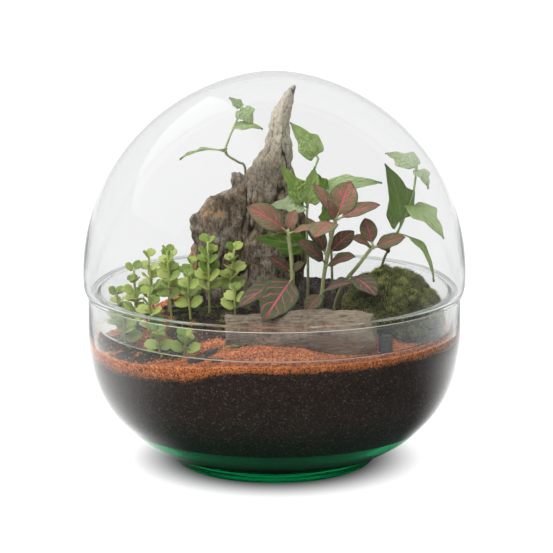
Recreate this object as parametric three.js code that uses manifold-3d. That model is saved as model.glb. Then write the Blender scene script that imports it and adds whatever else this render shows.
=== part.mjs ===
// A closed plant terrarium: a round green-bottomed glass bowl with a bell-shaped glass dome resting on it,
// filled with dark soil and orange sand, a weathered slab of wood, a log, slate chips, a moss mound,
// pink-veined plants, ivy vines and creeping sprigs with round leaves.
// Millimetres, +Z up, origin under the middle of the bowl on the surface that it stands on.
import * as THREE from 'three';
import { mergeVertices } from 'three/addons/utils/BufferGeometryUtils.js';
import Module from 'manifold-3d';

const wasm = await Module();
wasm.setup();

// Glass: the dome is a superellipse above its widest level, with a collar that hangs inside the bowl
const GLASS_SEGMENTS = 32;
const GLASS_WALL = 3.5;
const DOME_RADIUS = 149.3;
const DOME_WIDEST_Z = 148;
const DOME_TOP_Z = 306.5;
const DOME_HEIGHT_POWER = 2.07;
const DOME_RADIUS_POWER = 1.81;
const DOME_SHOULDER_RADIUS = 147.2;
const DOME_SHOULDER_EDGE = 1.2;
const DOME_FLARE_Z = 141;
const DOME_FLARE = 0.3;
const DOME_LEVELS = [0.22, 0.43, 0.62, 0.77, 0.89, 0.97];
const BOWL_RIM_Z = 133.5;
const COLLAR_RADIUS = 139;
const COLLAR_EDGE_Z = 109.5;
const FOOT_INNER_RADIUS = 64;
const FOOT_HOLLOW = 2.5;
// [radius, height] up the outside and up the inside of the bowl
const BOWL_OUTER = [
  [77, 0], [80.5, 4], [85, 9], [96, 14.5], [109.2, 22.5], [120, 32.5], [130.3, 44.5], [138, 58.5],
  [143, 74.5], [145.6, 96], [145.6, 131.5],
];
const BOWL_INNER = [
  [60, 13.5], [84, 16.5], [98, 24], [112, 36.5], [124, 51.5], [132.5, 66], [138.8, 84], [141.4, 100],
  [142.1, 131.5],
];

// Ground: a terrace at the front, a mound behind it, lower towards the left
const SAND_SHARE = 0.6;
const GROUND_LOW = 98;
const GROUND_RISE = 9;
const MOUND_RISE = 18;
const BANK_RISE = 6;
const SAND_DEPTH = 5.5;
const SAND_DEEPER = 6;
const GROUND_RINGS = [0.85, 0.72, SAND_SHARE, 0.42, 0.2];
const GROUND_REACH = 141;
// Rings are drawn at these heights before they are moved to the ground or to the sand's underside
const UPPER_RINGS_Z = 200;
const LOWER_RINGS_Z = 100;
const RINGS_Z = 150;
const SOIL_SIDE_TOP = 90;
// A ring this close inside the sand's edge makes the step down to the soil under the sand
const STEP_SHARE = 0.004;
const GAP = 0.35;
const ROOT_DEPTH = 8;
const ROOT_CLEARANCE = 0.6;
const ROOT_HOLE_ABOVE = 12;

// Plants
const BLADE_THICKNESS = 0.8;
const STEM_SIDES = 6;
const SPRIG_STEM_SIDES = 5;

// Outlines of the leaves: [share of the length, half width over full width]
const OVATE = [[0, 0.05], [0.32, 0.45], [0.7, 0.44], [1, 0.03]];
const LOBED = [[0, 0.04], [0.13, 0.3], [0.33, 0.5], [0.52, 0.27], [0.78, 0.17], [1, 0.02]];
const SPOON = [[0, 0.045], [0.6, 0.5], [1, 0.31]];
const LANCE = [[0, 0.05], [0.25, 0.45], [0.5, 0.42], [0.8, 0.15], [1, 0.03]];

const COLOURS = {
  glass: [0xdfece6, 0.05], green_glass: [0xbfe3cf, 0.05], soil: [0x2a221d, 0.95], sand: [0xb5562a, 0.9],
  bark: [0x76695c, 0.9], slate: [0x3c434a, 0.7], moss: [0x4c5a26, 0.95], pink_veined: [0x46552f, 0.6],
  ivy: [0x3f6b2c, 0.5], sprig: [0x8aa84a, 0.6],
};

// Small helpers
const vec = (x, y, z) => new THREE.Vector3(x, y, z);
const smooth = (t) => THREE.MathUtils.smoothstep(t, 0, 1);

function along(table, height) {
  // radius at a height, straight between the rows of a [radius, height] table
  const row = Math.max(1, table.findIndex(([, z]) => z >= height));
  const [r0, z0] = table[row - 1];
  const [r1, z1] = table[row];
  return r0 + ((r1 - r0) * (height - z0)) / (z1 - z0);
}

function ground(x, y) {
  // rises to the right, to a mound in the middle, and to a bank of sand against the front of the log
  const radius = Math.hypot(x, y);
  const level = GROUND_LOW + GROUND_RISE * smooth((x + 130) / 120);
  const mound = smooth((y + 105) / 55) * (1 - smooth((radius - 85) / 50));
  const bank = smooth((x + 55) / 25) * (1 - smooth((x - 15) / 30)) * smooth((-84 - y) / 12);
  return level + MOUND_RISE * mound + BANK_RISE * bank * smooth((136 - radius) / 32);
}

function sandDepth(x) {
  return SAND_DEPTH + SAND_DEEPER * (1 - smooth((x + 95) / 70));
}

function reshape(geometry, place) {
  // moves every vertex by a rule
  const position = geometry.attributes.position;
  const point = new THREE.Vector3();
  for (let i = 0; i < position.count; i += 1) {
    const moved = place(point.fromBufferAttribute(position, i).clone());
    position.setXYZ(i, moved.x, moved.y, moved.z);
  }
  return geometry;
}

function solid(geometry) {
  // a closed body from a geometry whose seams meet
  const bare = geometry.index ? geometry.clone() : geometry;
  bare.deleteAttribute('normal');
  bare.deleteAttribute('uv');
  const merged = mergeVertices(bare, 1e-4);
  return new wasm.Manifold(new wasm.Mesh({
    numProp: 3,
    vertProperties: Float32Array.from(merged.attributes.position.array),
    triVerts: dropFlat(merged.index.array),
  }));
}

function dropFlat(index) {
  // leaves out triangles that a closed pole or a merged seam has flattened
  const kept = [];
  for (let i = 0; i < index.length; i += 3) {
    const [a, b, c] = index.slice(i, i + 3);
    if (a !== b && b !== c && c !== a) kept.push(a, b, c);
  }
  return Uint32Array.from(kept);
}

function asGeometry(body) {
  const mesh = body.getMesh();
  const geometry = new THREE.BufferGeometry();
  geometry.setAttribute('position', new THREE.BufferAttribute(mesh.vertProperties, 3));
  geometry.setIndex(new THREE.BufferAttribute(mesh.triVerts, 1));
  geometry.computeVertexNormals();
  return geometry;
}

function lathe(profile) {
  // turns [radius, height] points about the upright axis; the profile runs up the outside first
  const points = profile.map(([r, z]) => new THREE.Vector2(r, z));
  return new THREE.LatheGeometry(points, GLASS_SEGMENTS).rotateX(Math.PI / 2);
}

function join(bodies) {
  return bodies.reduce((all, body) => all.add(body));
}

function arc(centre, radius, from, to, steps) {
  // [radius, height] points on a round edge, angles in degrees
  return Array.from({ length: steps + 1 }, (_, i) => {
    const angle = THREE.MathUtils.degToRad(from + ((to - from) * i) / steps);
    return [centre[0] + radius * Math.cos(angle), centre[1] + radius * Math.sin(angle)];
  });
}

// Glass bowl: thick at the base, with a ring foot round a shallow hollow
function bowl() {
  const wallMiddle = (BOWL_OUTER.at(-1)[0] + BOWL_INNER.at(-1)[0]) / 2;
  const rim = arc([wallMiddle, BOWL_RIM_Z - GLASS_WALL / 2], GLASS_WALL / 2, 30, 150, 3);
  const profile = [
    [0, FOOT_HOLLOW], [FOOT_INNER_RADIUS - 6, FOOT_HOLLOW], [FOOT_INNER_RADIUS, 0],
    ...BOWL_OUTER, ...rim, ...BOWL_INNER.toReversed(), [0, BOWL_INNER[0][1]],
  ];
  return solid(lathe(profile));
}

function domeRadius(share) {
  return DOME_RADIUS * (1 - share ** DOME_HEIGHT_POWER) ** (1 / DOME_RADIUS_POWER);
}

// Glass dome: its shoulder rests on the bowl's rim and its collar hangs just inside the bowl
function dome() {
  const rise = DOME_TOP_Z - DOME_WIDEST_Z;
  const innerScale = (DOME_RADIUS - GLASS_WALL) / DOME_RADIUS;
  const innerRise = rise - GLASS_WALL;
  const outer = DOME_LEVELS.map((share) => [domeRadius(share), DOME_WIDEST_Z + rise * share]);
  const inner = DOME_LEVELS.map((share) => (
    [domeRadius(share) * innerScale, DOME_WIDEST_Z + innerRise * share]
  ));
  const collarInner = COLLAR_RADIUS - GLASS_WALL;
  const seat = BOWL_RIM_Z + GAP;
  const round = GLASS_WALL / 2;
  const edge = arc([COLLAR_RADIUS - round, COLLAR_EDGE_Z + round], round, 180, 360, 3);
  const profile = [
    ...edge, [COLLAR_RADIUS, seat], [DOME_SHOULDER_RADIUS - DOME_SHOULDER_EDGE, seat],
    [DOME_SHOULDER_RADIUS, seat + 1], [DOME_RADIUS - DOME_FLARE, DOME_FLARE_Z], [DOME_RADIUS, DOME_WIDEST_Z],
    ...outer, [0, DOME_TOP_Z], [0, DOME_TOP_Z - GLASS_WALL], ...inner.toReversed(),
    [DOME_RADIUS - GLASS_WALL, DOME_WIDEST_Z],
    [DOME_RADIUS - GLASS_WALL - DOME_SHOULDER_EDGE, DOME_FLARE_Z - 0.5],
    [collarInner + 3, seat + GLASS_WALL - 1], [collarInner, seat + 0.5], edge[0],
  ];
  return solid(lathe(profile));
}

// Soil: fills the bowl to the ground, or to the underside of the sand towards the glass
function soil(sandAllowance) {
  const side = BOWL_INNER.filter(([, z]) => z < SOIL_SIDE_TOP).map(([r, z]) => [r - GAP, z + GAP]);
  const outside = GROUND_RINGS.filter((share) => share >= SAND_SHARE);
  const inside = GROUND_RINGS.filter((share) => share < SAND_SHARE);
  const rings = [1, ...outside, SAND_SHARE - STEP_SHARE, ...inside, 0];
  const profile = [[0, side[0][1]], ...side, ...rings.map((share) => [share, UPPER_RINGS_Z])];
  return solid(reshape(lathe(profile), (p) => {
    if (p.z < RINGS_Z) return p;
    const bare = Math.hypot(p.x, p.y) < SAND_SHARE - STEP_SHARE / 2;
    return toGround(p, (x, y) => ground(x, y) - (bare ? 0 : sandAllowance(x)));
  }));
}

function toGround(p, level) {
  // moves a point, drawn at its share of the ground's reach, to a level, and the outermost ones to the glass
  const share = Math.hypot(p.x, p.y);
  const outward = p.clone().setZ(0).normalize();
  let radius = share * GROUND_REACH;
  let height = level(outward.x * radius, outward.y * radius);
  if (share > 0.99) {
    radius = along(BOWL_INNER, height) - GAP;
    height = level(outward.x * radius, outward.y * radius);
  }
  return vec(outward.x * radius, outward.y * radius, height);
}

function crossDiagonals(geometry, strips, count) {
  // splits the quads of the first strips the other way, so that an underside matches the face below it
  const { array } = geometry.index;
  for (let quad = 0; quad < array.length / 6; quad += 1) {
    const [a, b, d, c] = array.slice(quad * 6, quad * 6 + 4);
    if (quad % strips < count) array.set([a, b, c, a, c, d], quad * 6);
  }
}

// Sand: a layer over the soil, from the glass inwards
function sand() {
  const shares = [SAND_SHARE + GAP / GROUND_REACH, ...GROUND_RINGS.slice(0, 2).toReversed(), 1];
  const below = shares.map((share) => [share, LOWER_RINGS_Z]);
  const above = shares.toReversed().map((share) => [share, UPPER_RINGS_Z]);
  const ring = lathe([...below, ...above, below[0]]);
  crossDiagonals(ring, 2 * shares.length, shares.length - 1);
  return solid(reshape(ring, (p) => (
    toGround(p, (x, y) => (p.z > RINGS_Z ? ground(x, y) : ground(x, y) - sandDepth(x) + GAP))
  )));
}

// Standing slab of wood: a pointed spire with a broken shoulder at its left
// rows: [height, left edge, right edge, thickness]
const WOOD_MIDDLE_Y = 25;
const SPIRE = [
  [99, -34, 20, 28], [125, -33, 22, 29], [154, -32, 25, 28], [182, -30, 25, 26], [202, -27, 22, 24],
  [218, -23.5, 18, 22], [229, -18.5, 14, 20], [238, -13.5, 13.5, 19], [246, -7.5, 14, 18],
  [254, -5, 12.5, 16], [264, -3, 12.2, 14], [273, -1, 13.8, 11], [280, 3.5, 15.2, 9.5], [286.5, 7, 16.4, 7.5],
  [293, 13.5, 17.8, 3],
];
const SHOULDER = [
  [99, -62, -14, 24], [120, -64, -14, 26], [150, -68, -14, 26], [170, -65, -15, 24], [180, -67, -16, 22],
  [189, -65.5, -17, 20], [193, -60, -18, 18], [199, -56, -18, 16], [204, -50, -19, 14], [208, -41.5, -20, 12],
  [211, -34.5, -21, 11], [217, -34, -22, 9], [223.5, -34, -26, 5],
];

function slab(rows, grow) {
  const sides = 12;
  const column = new THREE.CylinderGeometry(1, 1, 1, sides, rows.length - 1);
  return solid(reshape(column.rotateX(Math.PI / 2), (p) => {
    const [height, left, right, thickness] = rows[Math.round((p.z + 0.5) * (rows.length - 1))];
    const angle = Math.atan2(p.y, p.x);
    const groove = 1 + 0.1 * Math.sin(5 * angle + height / 17) * Math.abs(Math.sin(angle));
    const x = (left + right) / 2 + (p.x * (right - left + 2 * grow)) / 2;
    const y = WOOD_MIDDLE_Y + (p.y * (thickness * groove + 2 * grow)) / 2;
    return vec(x, y, height - (p.z < -0.49 ? grow : 0));
  }));
}

function standingWood(grow) {
  return join([slab(SPIRE, grow), slab(SHOULDER, grow)]);
}

// Lying log, half sunk in the slope behind it
const LOG_LEFT = vec(-36, -81, 118.5);
const LOG_RIGHT = vec(73, -91, 122);
const LOG_LEFT_RADIUS = 13.5;
const LOG_RIGHT_RADIUS = 16.5;
const LOG_WORN_END = 0.72;

function log(grow) {
  const stations = 7;
  const trunk = new THREE.CylinderGeometry(1, 1, 1, 12, stations - 1).rotateZ(-Math.PI / 2);
  return solid(reshape(trunk, (p) => {
    const share = p.x + 0.5;
    const angle = Math.atan2(p.z, p.y);
    const bumps = 1 + 0.05 * Math.sin(3 * angle + share * 9) + 0.03 * Math.sin(5 * angle - share * 17);
    const plain = THREE.MathUtils.lerp(LOG_LEFT_RADIUS, LOG_RIGHT_RADIUS, smooth(share * 1.6));
    const radius = plain * bumps * (share > 0.99 ? LOG_WORN_END : 1) + grow;
    const ragged = share > 0.99 ? 2 * Math.sin(2 * angle) : 0;
    const end = (share > 0.99 ? grow + ragged : 0) - (share < 0.01 ? grow : 0);
    return LOG_LEFT.clone().lerp(LOG_RIGHT, share).add(vec(end, p.y * radius, p.z * radius));
  }));
}

// Slate chips: [name, x, y, length, width, height, turn in degrees]
const CHIPS = [
  ['slate_log_end', 82, -90, 11, 9, 14, 10], ['slate_front', -56, -112, 17, 12, 5, 35],
  ['slate_front_small', -41, -119, 11, 7, 4, -20], ['slate_wood_foot', -78, -9, 14, 10, 5, 15],
  ['slate_left', -104, -6, 10, 8, 4, 60], ['slate_middle', -46, -97, 10, 7, 5, 0],
];

function chip([, x, y, length, width, height, turn], grow) {
  const corners = [[1, 0.1], [0.55, 0.9], [-0.3, 1], [-1, 0.35], [-0.75, -0.7], [0.2, -1]];
  const outline = new THREE.Shape(corners.map(([u, v]) => new THREE.Vector2(u, v)));
  const sunk = 1.5;
  const prism = new THREE.ExtrudeGeometry(outline, { depth: 1, bevelEnabled: false });
  return solid(reshape(prism, (p) => {
    const top = p.z > 0.5;
    const inset = top ? 0.82 : 1;
    return vec(
      p.x * ((length / 2) * inset + grow), p.y * ((width / 2) * inset + grow),
      top ? height - sunk + grow + p.x * 0.8 : -sunk - grow,
    );
  }).rotateZ(THREE.MathUtils.degToRad(turn)).translate(x, y, ground(x, y)));
}

// Moss mound at the right
const MOSS_CENTRE = vec(90, -28, 118);
const MOSS_REACH = vec(38, 43, 36);

function moss() {
  const ball = new THREE.SphereGeometry(1, 26, 14).rotateX(Math.PI / 2);
  return solid(reshape(ball, (p) => {
    const angle = Math.atan2(p.y, p.x);
    const tufts = 1 + 0.035 * Math.sin(8 * angle + 5 * p.z) + 0.03 * Math.sin(5 * angle - 9 * p.z);
    return p.multiplyScalar(tufts).multiply(MOSS_REACH).add(MOSS_CENTRE);
  }));
}

// A leaf blade from its base to its tip, arched along its midrib and folded up at both sides
function blade({ from, to, width, face, outline, arch = 0.08, fold = 0.16, across = [-1, 0, 1] }) {
  const length = from.distanceTo(to);
  const forward = to.clone().sub(from).normalize();
  const normal = face.clone().addScaledVector(forward, -face.dot(forward)).normalize();
  const side = forward.clone().cross(normal);
  const rows = outline.map(([share, half]) => across.map((edge) => {
    const reach = edge * half * width;
    const lift = 4 * arch * length * share * (1 - share) + Math.abs(reach) * fold;
    return from.clone()
      .addScaledVector(forward, length * share)
      .addScaledVector(side, reach)
      .addScaledVector(normal, lift);
  }));
  const upper = rows.flat();
  const lower = upper.map((p) => p.clone().addScaledVector(normal, -BLADE_THICKNESS));
  const count = upper.length;
  const columns = across.length;
  const last = rows.length - 1;
  const index = [];
  for (let row = 0; row < last; row += 1) {
    for (let col = 0; col < columns - 1; col += 1) {
      const a = row * columns + col;
      const quad = [a, a + 1, a + columns + 1, a, a + columns + 1, a + columns];
      index.push(...quad, ...quad.map((i) => i + count).toReversed());
    }
  }
  const rim = [];
  for (let col = 0; col < columns - 1; col += 1) rim.push(col);
  for (let row = 0; row < last; row += 1) rim.push(row * columns + columns - 1);
  for (let col = columns - 1; col > 0; col -= 1) rim.push(last * columns + col);
  for (let row = last; row > 0; row -= 1) rim.push(row * columns);
  rim.forEach((here, i) => {
    const next = rim[(i + 1) % rim.length];
    index.push(here, here + count, next + count, here, next + count, next);
  });
  const geometry = new THREE.BufferGeometry();
  const places = [...upper, ...lower].flatMap((p) => p.toArray());
  geometry.setAttribute('position', new THREE.Float32BufferAttribute(places, 3));
  geometry.setIndex(index);
  return solid(geometry);
}

function stem(points, radius, sides, steps) {
  const path = new THREE.CatmullRomCurve3(points);
  const section = new THREE.Shape(Array.from({ length: sides }, (_, i) => {
    const angle = (2 * Math.PI * i) / sides;
    return new THREE.Vector2(radius * Math.cos(angle), radius * Math.sin(angle));
  }));
  return solid(new THREE.ExtrudeGeometry(section, { steps, bevelEnabled: false, extrudePath: path }));
}

function rooted(x, y, ...rest) {
  // the points of a stem that leaves the soil upright
  const z = ground(x, y);
  return [vec(x, y, z - ROOT_DEPTH), vec(x, y, z - 2), vec(x, y, z + 3), ...rest.map((p) => vec(...p))];
}

function rootHole(x, y, radius, sides) {
  const wide = radius + ROOT_CLEARANCE;
  const height = ROOT_DEPTH + GAP + ROOT_HOLE_ABOVE;
  const hole = new THREE.CylinderGeometry(wide, wide, height, sides);
  return solid(hole.rotateX(Math.PI / 2).translate(x, y, ground(x, y) + ROOT_HOLE_ABOVE - height / 2));
}

// Leafy stems with hand-placed leaves: from, to, width, face, and the outline if it isn't the plant's own
const FITTONIA_RADIUS = 1.7;
const IVY_RADIUS = 1.3;
const PLANTS = [
  {
    name: 'pink_veined_left', colour: 'pink_veined', radius: FITTONIA_RADIUS, outline: OVATE,
    root: [14, -45], path: [[14, -45, 140], [13, -43, 165], [10, -40, 190]],
    leaves: [
      [[10, -41, 188], [-21, -48, 209], 20, [0.25, -0.8, 0.55]],
      [[10, -40, 188], [16, -33, 204], 10, [-0.2, -1, 0.3]],
      [[11, -41, 187], [34, -48, 192], 13, [0.1, -0.3, 1]],
      [[10.5, -41, 185], [-3, -57, 188], 10, [-0.1, 0.3, 1]],
      [[13, -44, 156], [-4, -50, 170], 11, [0.2, -0.9, 0.5]],
      [[13, -44, 157], [23, -51, 166], 7, [-0.4, -0.9, 0.5]],
      [[14, -45, 152], [-8, -99, 132], 27, [0.25, -0.65, 0.75]],
      [[14, -45, 150], [-27, -77, 137], 20, [-0.35, -0.45, 0.85]],
      [[14, -45, 133], [-13, -53, 138], 11, [0, -0.8, 0.6]],
    ],
  },
  {
    name: 'pink_veined_middle', colour: 'pink_veined', radius: FITTONIA_RADIUS, outline: OVATE,
    root: [36, -40], path: [[37, -40, 145], [41, -40, 172], [47, -40, 200]],
    leaves: [
      [[47, -41, 196], [30, -63, 188], 22, [-0.2, -0.35, 1]],
      [[47, -40, 198], [58, -33, 226], 22, [-0.15, -1, 0.3]],
      [[48, -41, 198], [80, -45, 210], 12, [-0.1, -0.7, 0.8]],
      [[46, -40, 198], [30, -28, 223], 11, [0.6, -0.9, 0.2]],
      [[46, -41, 197], [40, -51, 214], 9, [0.4, -0.8, 0.3]],
      [[40, -40, 168], [24, -26, 197], 13, [0.5, -0.9, 0.2]],
      [[39, -41, 163], [17, -57, 184], 14, [0.3, -0.75, 0.6]],
      [[39, -41, 160], [61, -59, 172], 14, [0.1, -0.6, 0.8]],
      [[41, -39, 170], [61, -30, 187], 14, [-0.2, -0.9, 0.5]],
      [[37, -41, 140], [58, -67, 153], 14, [0.1, -0.65, 0.75]],
      [[36, -40, 139], [24, -58, 129], 13, [-0.2, -0.8, 0.6]],
    ],
  },
  {
    name: 'pink_veined_right', colour: 'pink_veined', radius: FITTONIA_RADIUS, outline: OVATE,
    root: [47, -30], path: [[53, -38, 146], [64, -44, 162], [75, -46, 178]],
    leaves: [
      [[75, -46, 176], [99, -51, 186], 13, [0, -0.75, 0.75]],
      [[75, -46, 178], [69, -35, 198], 13, [0, -1, 0.25]],
      [[74, -46, 177], [59, -64, 187], 13, [0.2, -0.6, 0.8]],
      [[74, -46, 177], [88, -33, 170], 11, [0.2, 0.2, 1]],
      [[58, -42, 153], [76, -77, 146], 18, [0, -0.5, 0.9]],
    ],
  },
  {
    name: 'ivy_left', colour: 'ivy', radius: IVY_RADIUS, outline: LOBED,
    root: [-30, 56], path: [
      [-29, 52, 150], [-26, 47, 190], [-23, 39, 218], [-24, 29, 229], [-29, 15, 234], [-38, 5, 243],
      [-35, 6, 254], [-31, 9, 263], [-25, 14, 277],
    ],
    leaves: [
      [[-37, 5, 243], [-72, -30, 243], 15, [0.1, 0.2, 1]],
      [[-32, 8, 262], [-9, 0, 262], 15, [0, -0.5, 1]],
      [[-26, 13, 276], [-17, 4, 264], 17, [0.2, -1, 0.4]],
      [[-26, 13, 276], [-35, 18, 284], 10, [0, -0.6, 1]],
    ],
  },
  {
    name: 'ivy_front', colour: 'ivy', radius: IVY_RADIUS, outline: LOBED,
    root: [26, -17], path: [[26, -16, 160], [25, -14, 195], [28, -9, 222], [34, -2, 239]],
    leaves: [
      [[34, -2, 239], [12, -1, 267], 21, [0.2, -1, 0.35]],
      [[25, -14, 205], [4, -12, 236], 17, [0.2, -1, 0.3]],
      [[25, -14, 203], [-5, -19, 204], 19, [0.1, -0.7, 0.8]],
      [[25, -15, 204], [31, -13, 234], 21, [0.15, -1, 0.2]],
      [[26, -16, 171], [-16, -8, 177], 22, [0.1, -0.9, 0.5]],
    ],
  },
  {
    name: 'ivy_back', colour: 'ivy', radius: IVY_RADIUS, outline: LOBED,
    root: [46, 22], path: [[45, 21, 160], [42, 16, 190], [38, 11, 213]],
    leaves: [
      [[38, 11, 212], [84, 5, 219], 19, [0.1, -0.7, 0.7]],
      [[39, 12, 210], [29, -1, 229], 13, [0.4, -0.9, 0.3]],
      [[42, 16, 186], [39, 3, 207], 15, [0.1, -1, 0.3]],
    ],
  },
  {
    name: 'ivy_right', colour: 'ivy', radius: IVY_RADIUS, outline: LOBED,
    root: [84, 26], path: [[86, 21, 150], [94, 2, 175], [102, -11, 198], [107, -17, 216], [109, -19, 236]],
    leaves: [
      [[98, -6, 188], [84, -38, 240], 32, [0.35, -0.9, 0.4]],
      [[109, -19, 233], [86, 0, 243], 21, [0, -0.5, 1]],
      [[109, -19, 233], [117, -35, 221], 13, [0.3, -0.6, 0.7]],
      [[104, -13, 205], [129, -42, 183], 24, [0.4, -0.7, 0.6]],
      [[94, 2, 175], [80, -6, 172], 12, [-0.2, -0.7, 0.7]],
      [[96, -2, 180], [122, -44, 150], 11, [0.5, -0.3, 0.8], LANCE, 0.16],
    ],
  },
];

function plant({ radius, outline, root, path, leaves }) {
  const steps = 2 * path.length + 2;
  const body = stem(rooted(...root, ...path), radius, STEM_SIDES, steps);
  const blades = leaves.map(([from, to, width, face, other, arch]) => blade({
    from: vec(...from), to: vec(...to), width, face: vec(...face), outline: other ?? outline, arch,
  }));
  return join([body, ...blades]);
}

// Creeping sprigs: opposite pairs of spoon leaves, each pair square to the one below
// [root x, root y, top x, top y, height above the ground, pairs]
const SPRIG_RADIUS = 1;
const SPRIG_LEAF = 13;
const LEAN_TO_LIGHT = 0.75;
// shares of the stem's height where the leaves start, how much of it they cover, and the top pair's
const FIRST_PAIR = 0.34;
const PAIRS_SPAN = 0.6;
const TOP_PAIR = 0.985;
// how far apart the middle planes of two leaves, and of a leaf and a stem, are kept
const LEAF_SPACE = 1.6;
const STEM_SPACE = 3.4;
const STEM_REACH = 2.2;
const STEM_CHECKS = 12;
// how far out a leaf may reach: in the dome, and lower down inside the collar
const DOME_REACH = 140;
const COLLAR_REACH = 133.5;
const DOME_FROM_Z = 138;
// the wood stands where x is between these and y is above the line, and the log lies in front at the right
const WOOD_FROM_X = -72;
const WOOD_TO_X = 30;
const WOOD_FRONT_Y = 9;
const LOG_TOP_Z = 136;
const LOG_BACK_Y = -64;
const LOG_FROM_X = -38;
const SPRIGS = [
  [-50, -37, -51, -31, 56, 5], [-36, -28, -31, -29, 48, 4], [-79, -42, -82, -40, 54, 5],
  [-93, -28, -97, -26, 50, 4], [-106, -36, -108, -33, 50, 4], [-118, -16, -123, -17, 32, 3],
  [-65, -30, -64, -24, 38, 4], [-64, -53, -66, -54, 34, 3], [-111, -57, -113, -58, 26, 3],
  [-84, -88, -86, -89, 22, 2], [-66, -94, -65, -97, 18, 2], [-30, -52, -30, -55, 20, 2],
  [-92, -60, -95, -63, 36, 3], [-82, -16, -82, -13, 44, 4],
];

function randomFrom(seed) {
  let state = seed;
  return () => {
    state = (Math.imul(state, 1664525) + 1013904223) >>> 0;
    return state / 4294967296;
  };
}

function clearOf(disc, taken) {
  // two round leaves are clear when their balls part, or one lies wholly to one side of the other
  return taken.every((other) => {
    const apart = disc.centre.clone().sub(other.centre);
    const tilt = Math.sqrt(Math.max(0, 1 - disc.normal.dot(other.normal) ** 2));
    return apart.length() > disc.radius + other.radius
      || Math.abs(apart.dot(disc.normal)) > other.radius * tilt + LEAF_SPACE
      || Math.abs(apart.dot(other.normal)) > disc.radius * tilt + LEAF_SPACE;
  });
}

function insideTerrarium({ centre, radius }) {
  const low = centre.z - radius;
  const reach = Math.hypot(centre.x, centre.y) + radius;
  if (reach > (low > DOME_FROM_Z ? DOME_REACH : COLLAR_REACH)) return false;
  if (centre.z - radius * 0.6 < ground(centre.x, centre.y) + 1) return false;
  if (centre.x < WOOD_TO_X && centre.x > WOOD_FROM_X && centre.y + radius > WOOD_FRONT_Y) return false;
  return !(low < LOG_TOP_Z && centre.y - radius < LOG_BACK_Y && centre.x + radius > LOG_FROM_X);
}

function spoonLeaf(at, azimuth, rise, length) {
  const level = Math.cos(rise);
  const forward = vec(Math.cos(azimuth) * level, Math.sin(azimuth) * level, Math.sin(rise));
  const light = vec(0, -LEAN_TO_LIGHT, 1);
  const face = light.addScaledVector(forward, -light.dot(forward)).normalize();
  const tip = at.clone().addScaledVector(forward, length);
  const centre = at.clone().addScaledVector(forward, length * 0.6);
  const disc = { centre, normal: face, radius: length * 0.5 };
  return { from: at, to: tip, face, width: length * 0.92, disc };
}

function sprigPlans() {
  const random = randomFrom(20);
  const stems = SPRIGS.map(([x, y, topX, topY, height]) => {
    const z = ground(x, y);
    return new THREE.LineCurve3(vec(x, y, z), vec(topX, topY, z + height));
  });
  const leaves = stems.map(() => []);
  SPRIGS.forEach(([, , , , , pairs], own) => {
    const start = random() * Math.PI;
    for (let pair = 0; pair <= pairs; pair += 1) {
      const share = pair === pairs ? TOP_PAIR : FIRST_PAIR + (PAIRS_SPAN * pair) / pairs;
      const at = stems[own].getPoint(share);
      const length = SPRIG_LEAF * (1 - 0.4 * share * share) * (0.9 + 0.2 * random());
      for (let half = 0; half < 2; half += 1) {
        const azimuth = start + pair * (Math.PI / 2) + half * Math.PI + 0.4 * (random() - 0.5);
        const rise = 0.25 + 0.45 * share + 0.3 * (random() - 0.5);
        const others = leaves.flatMap((list, i) => (i === own ? [] : list.map((leaf) => leaf.disc)));
        const turns = [0, 0.35, -0.35, 0.7, -0.7];
        const options = turns.map((turn) => spoonLeaf(at, azimuth + turn, rise, length));
        const fit = options.find(({ disc }) => insideTerrarium(disc) && clearOf(disc, others)
          && stems.every((line, i) => i === own || stemClear(line, disc)));
        if (fit) leaves[own].push(fit);
      }
    }
  });
  return leaves;
}

function stemClear(line, { centre, normal, radius }) {
  for (let i = 0; i <= STEM_CHECKS; i += 1) {
    const apart = line.getPoint(i / STEM_CHECKS).sub(centre);
    if (apart.length() < radius + STEM_REACH && Math.abs(apart.dot(normal)) < STEM_SPACE) return false;
  }
  return true;
}

// The whole object
const group = new THREE.Group();

function place(name, colour, body) {
  const [hex, roughness] = COLOURS[colour];
  const material = new THREE.MeshStandardMaterial({ color: hex, roughness, metalness: 0 });
  const mesh = new THREE.Mesh(asGeometry(body), material);
  mesh.name = name;
  group.add(mesh);
}

const sprigLeaves = sprigPlans();
const plantHoles = PLANTS.map(({ root, radius }) => rootHole(...root, radius, STEM_SIDES));
const sprigHoles = SPRIGS.map(([x, y]) => rootHole(x, y, SPRIG_RADIUS, SPRIG_STEM_SIDES));
const hollows = join([
  ...plantHoles, ...sprigHoles, standingWood(GAP), log(GAP), ...CHIPS.map((row) => chip(row, GAP)),
]);
const raisedGround = soil(() => 0).translate(0, 0, GAP);

place('bowl', 'green_glass', bowl());
place('dome', 'glass', dome());
place('soil', 'soil', soil(sandDepth).subtract(hollows));
place('sand', 'sand', sand().subtract(hollows));
place('standing_wood', 'bark', standingWood(0));
place('log', 'bark', log(0));
CHIPS.forEach((row) => place(row[0], 'slate', chip(row, 0)));
place('moss_mound', 'moss', moss().subtract(raisedGround).subtract(join(plantHoles)));
PLANTS.forEach((row) => place(row.name, row.colour, plant(row)));
SPRIGS.forEach(([x, y, topX, topY, height], i) => {
  const z = ground(x, y);
  const points = rooted(x, y, [(x + topX) / 2, (y + topY) / 2, z + height / 2], [topX, topY, z + height]);
  const body = stem(points, SPRIG_RADIUS, SPRIG_STEM_SIDES, 3);
  const flat = { outline: SPOON, arch: 0.05, across: [-1, 1] };
  const blades = sprigLeaves[i].map((leaf) => blade({ ...leaf, ...flat }));
  place(`sprig_${String(i + 1).padStart(2, '0')}`, 'sprig', join([body, ...blades]));
});

export default group;
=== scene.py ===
"""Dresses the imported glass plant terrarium: smooth glass, soil, sand, wood, slate, moss and leafy plants.

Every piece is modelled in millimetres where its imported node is, and brought to metres as it is finished.
"""
import math
import random

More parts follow.
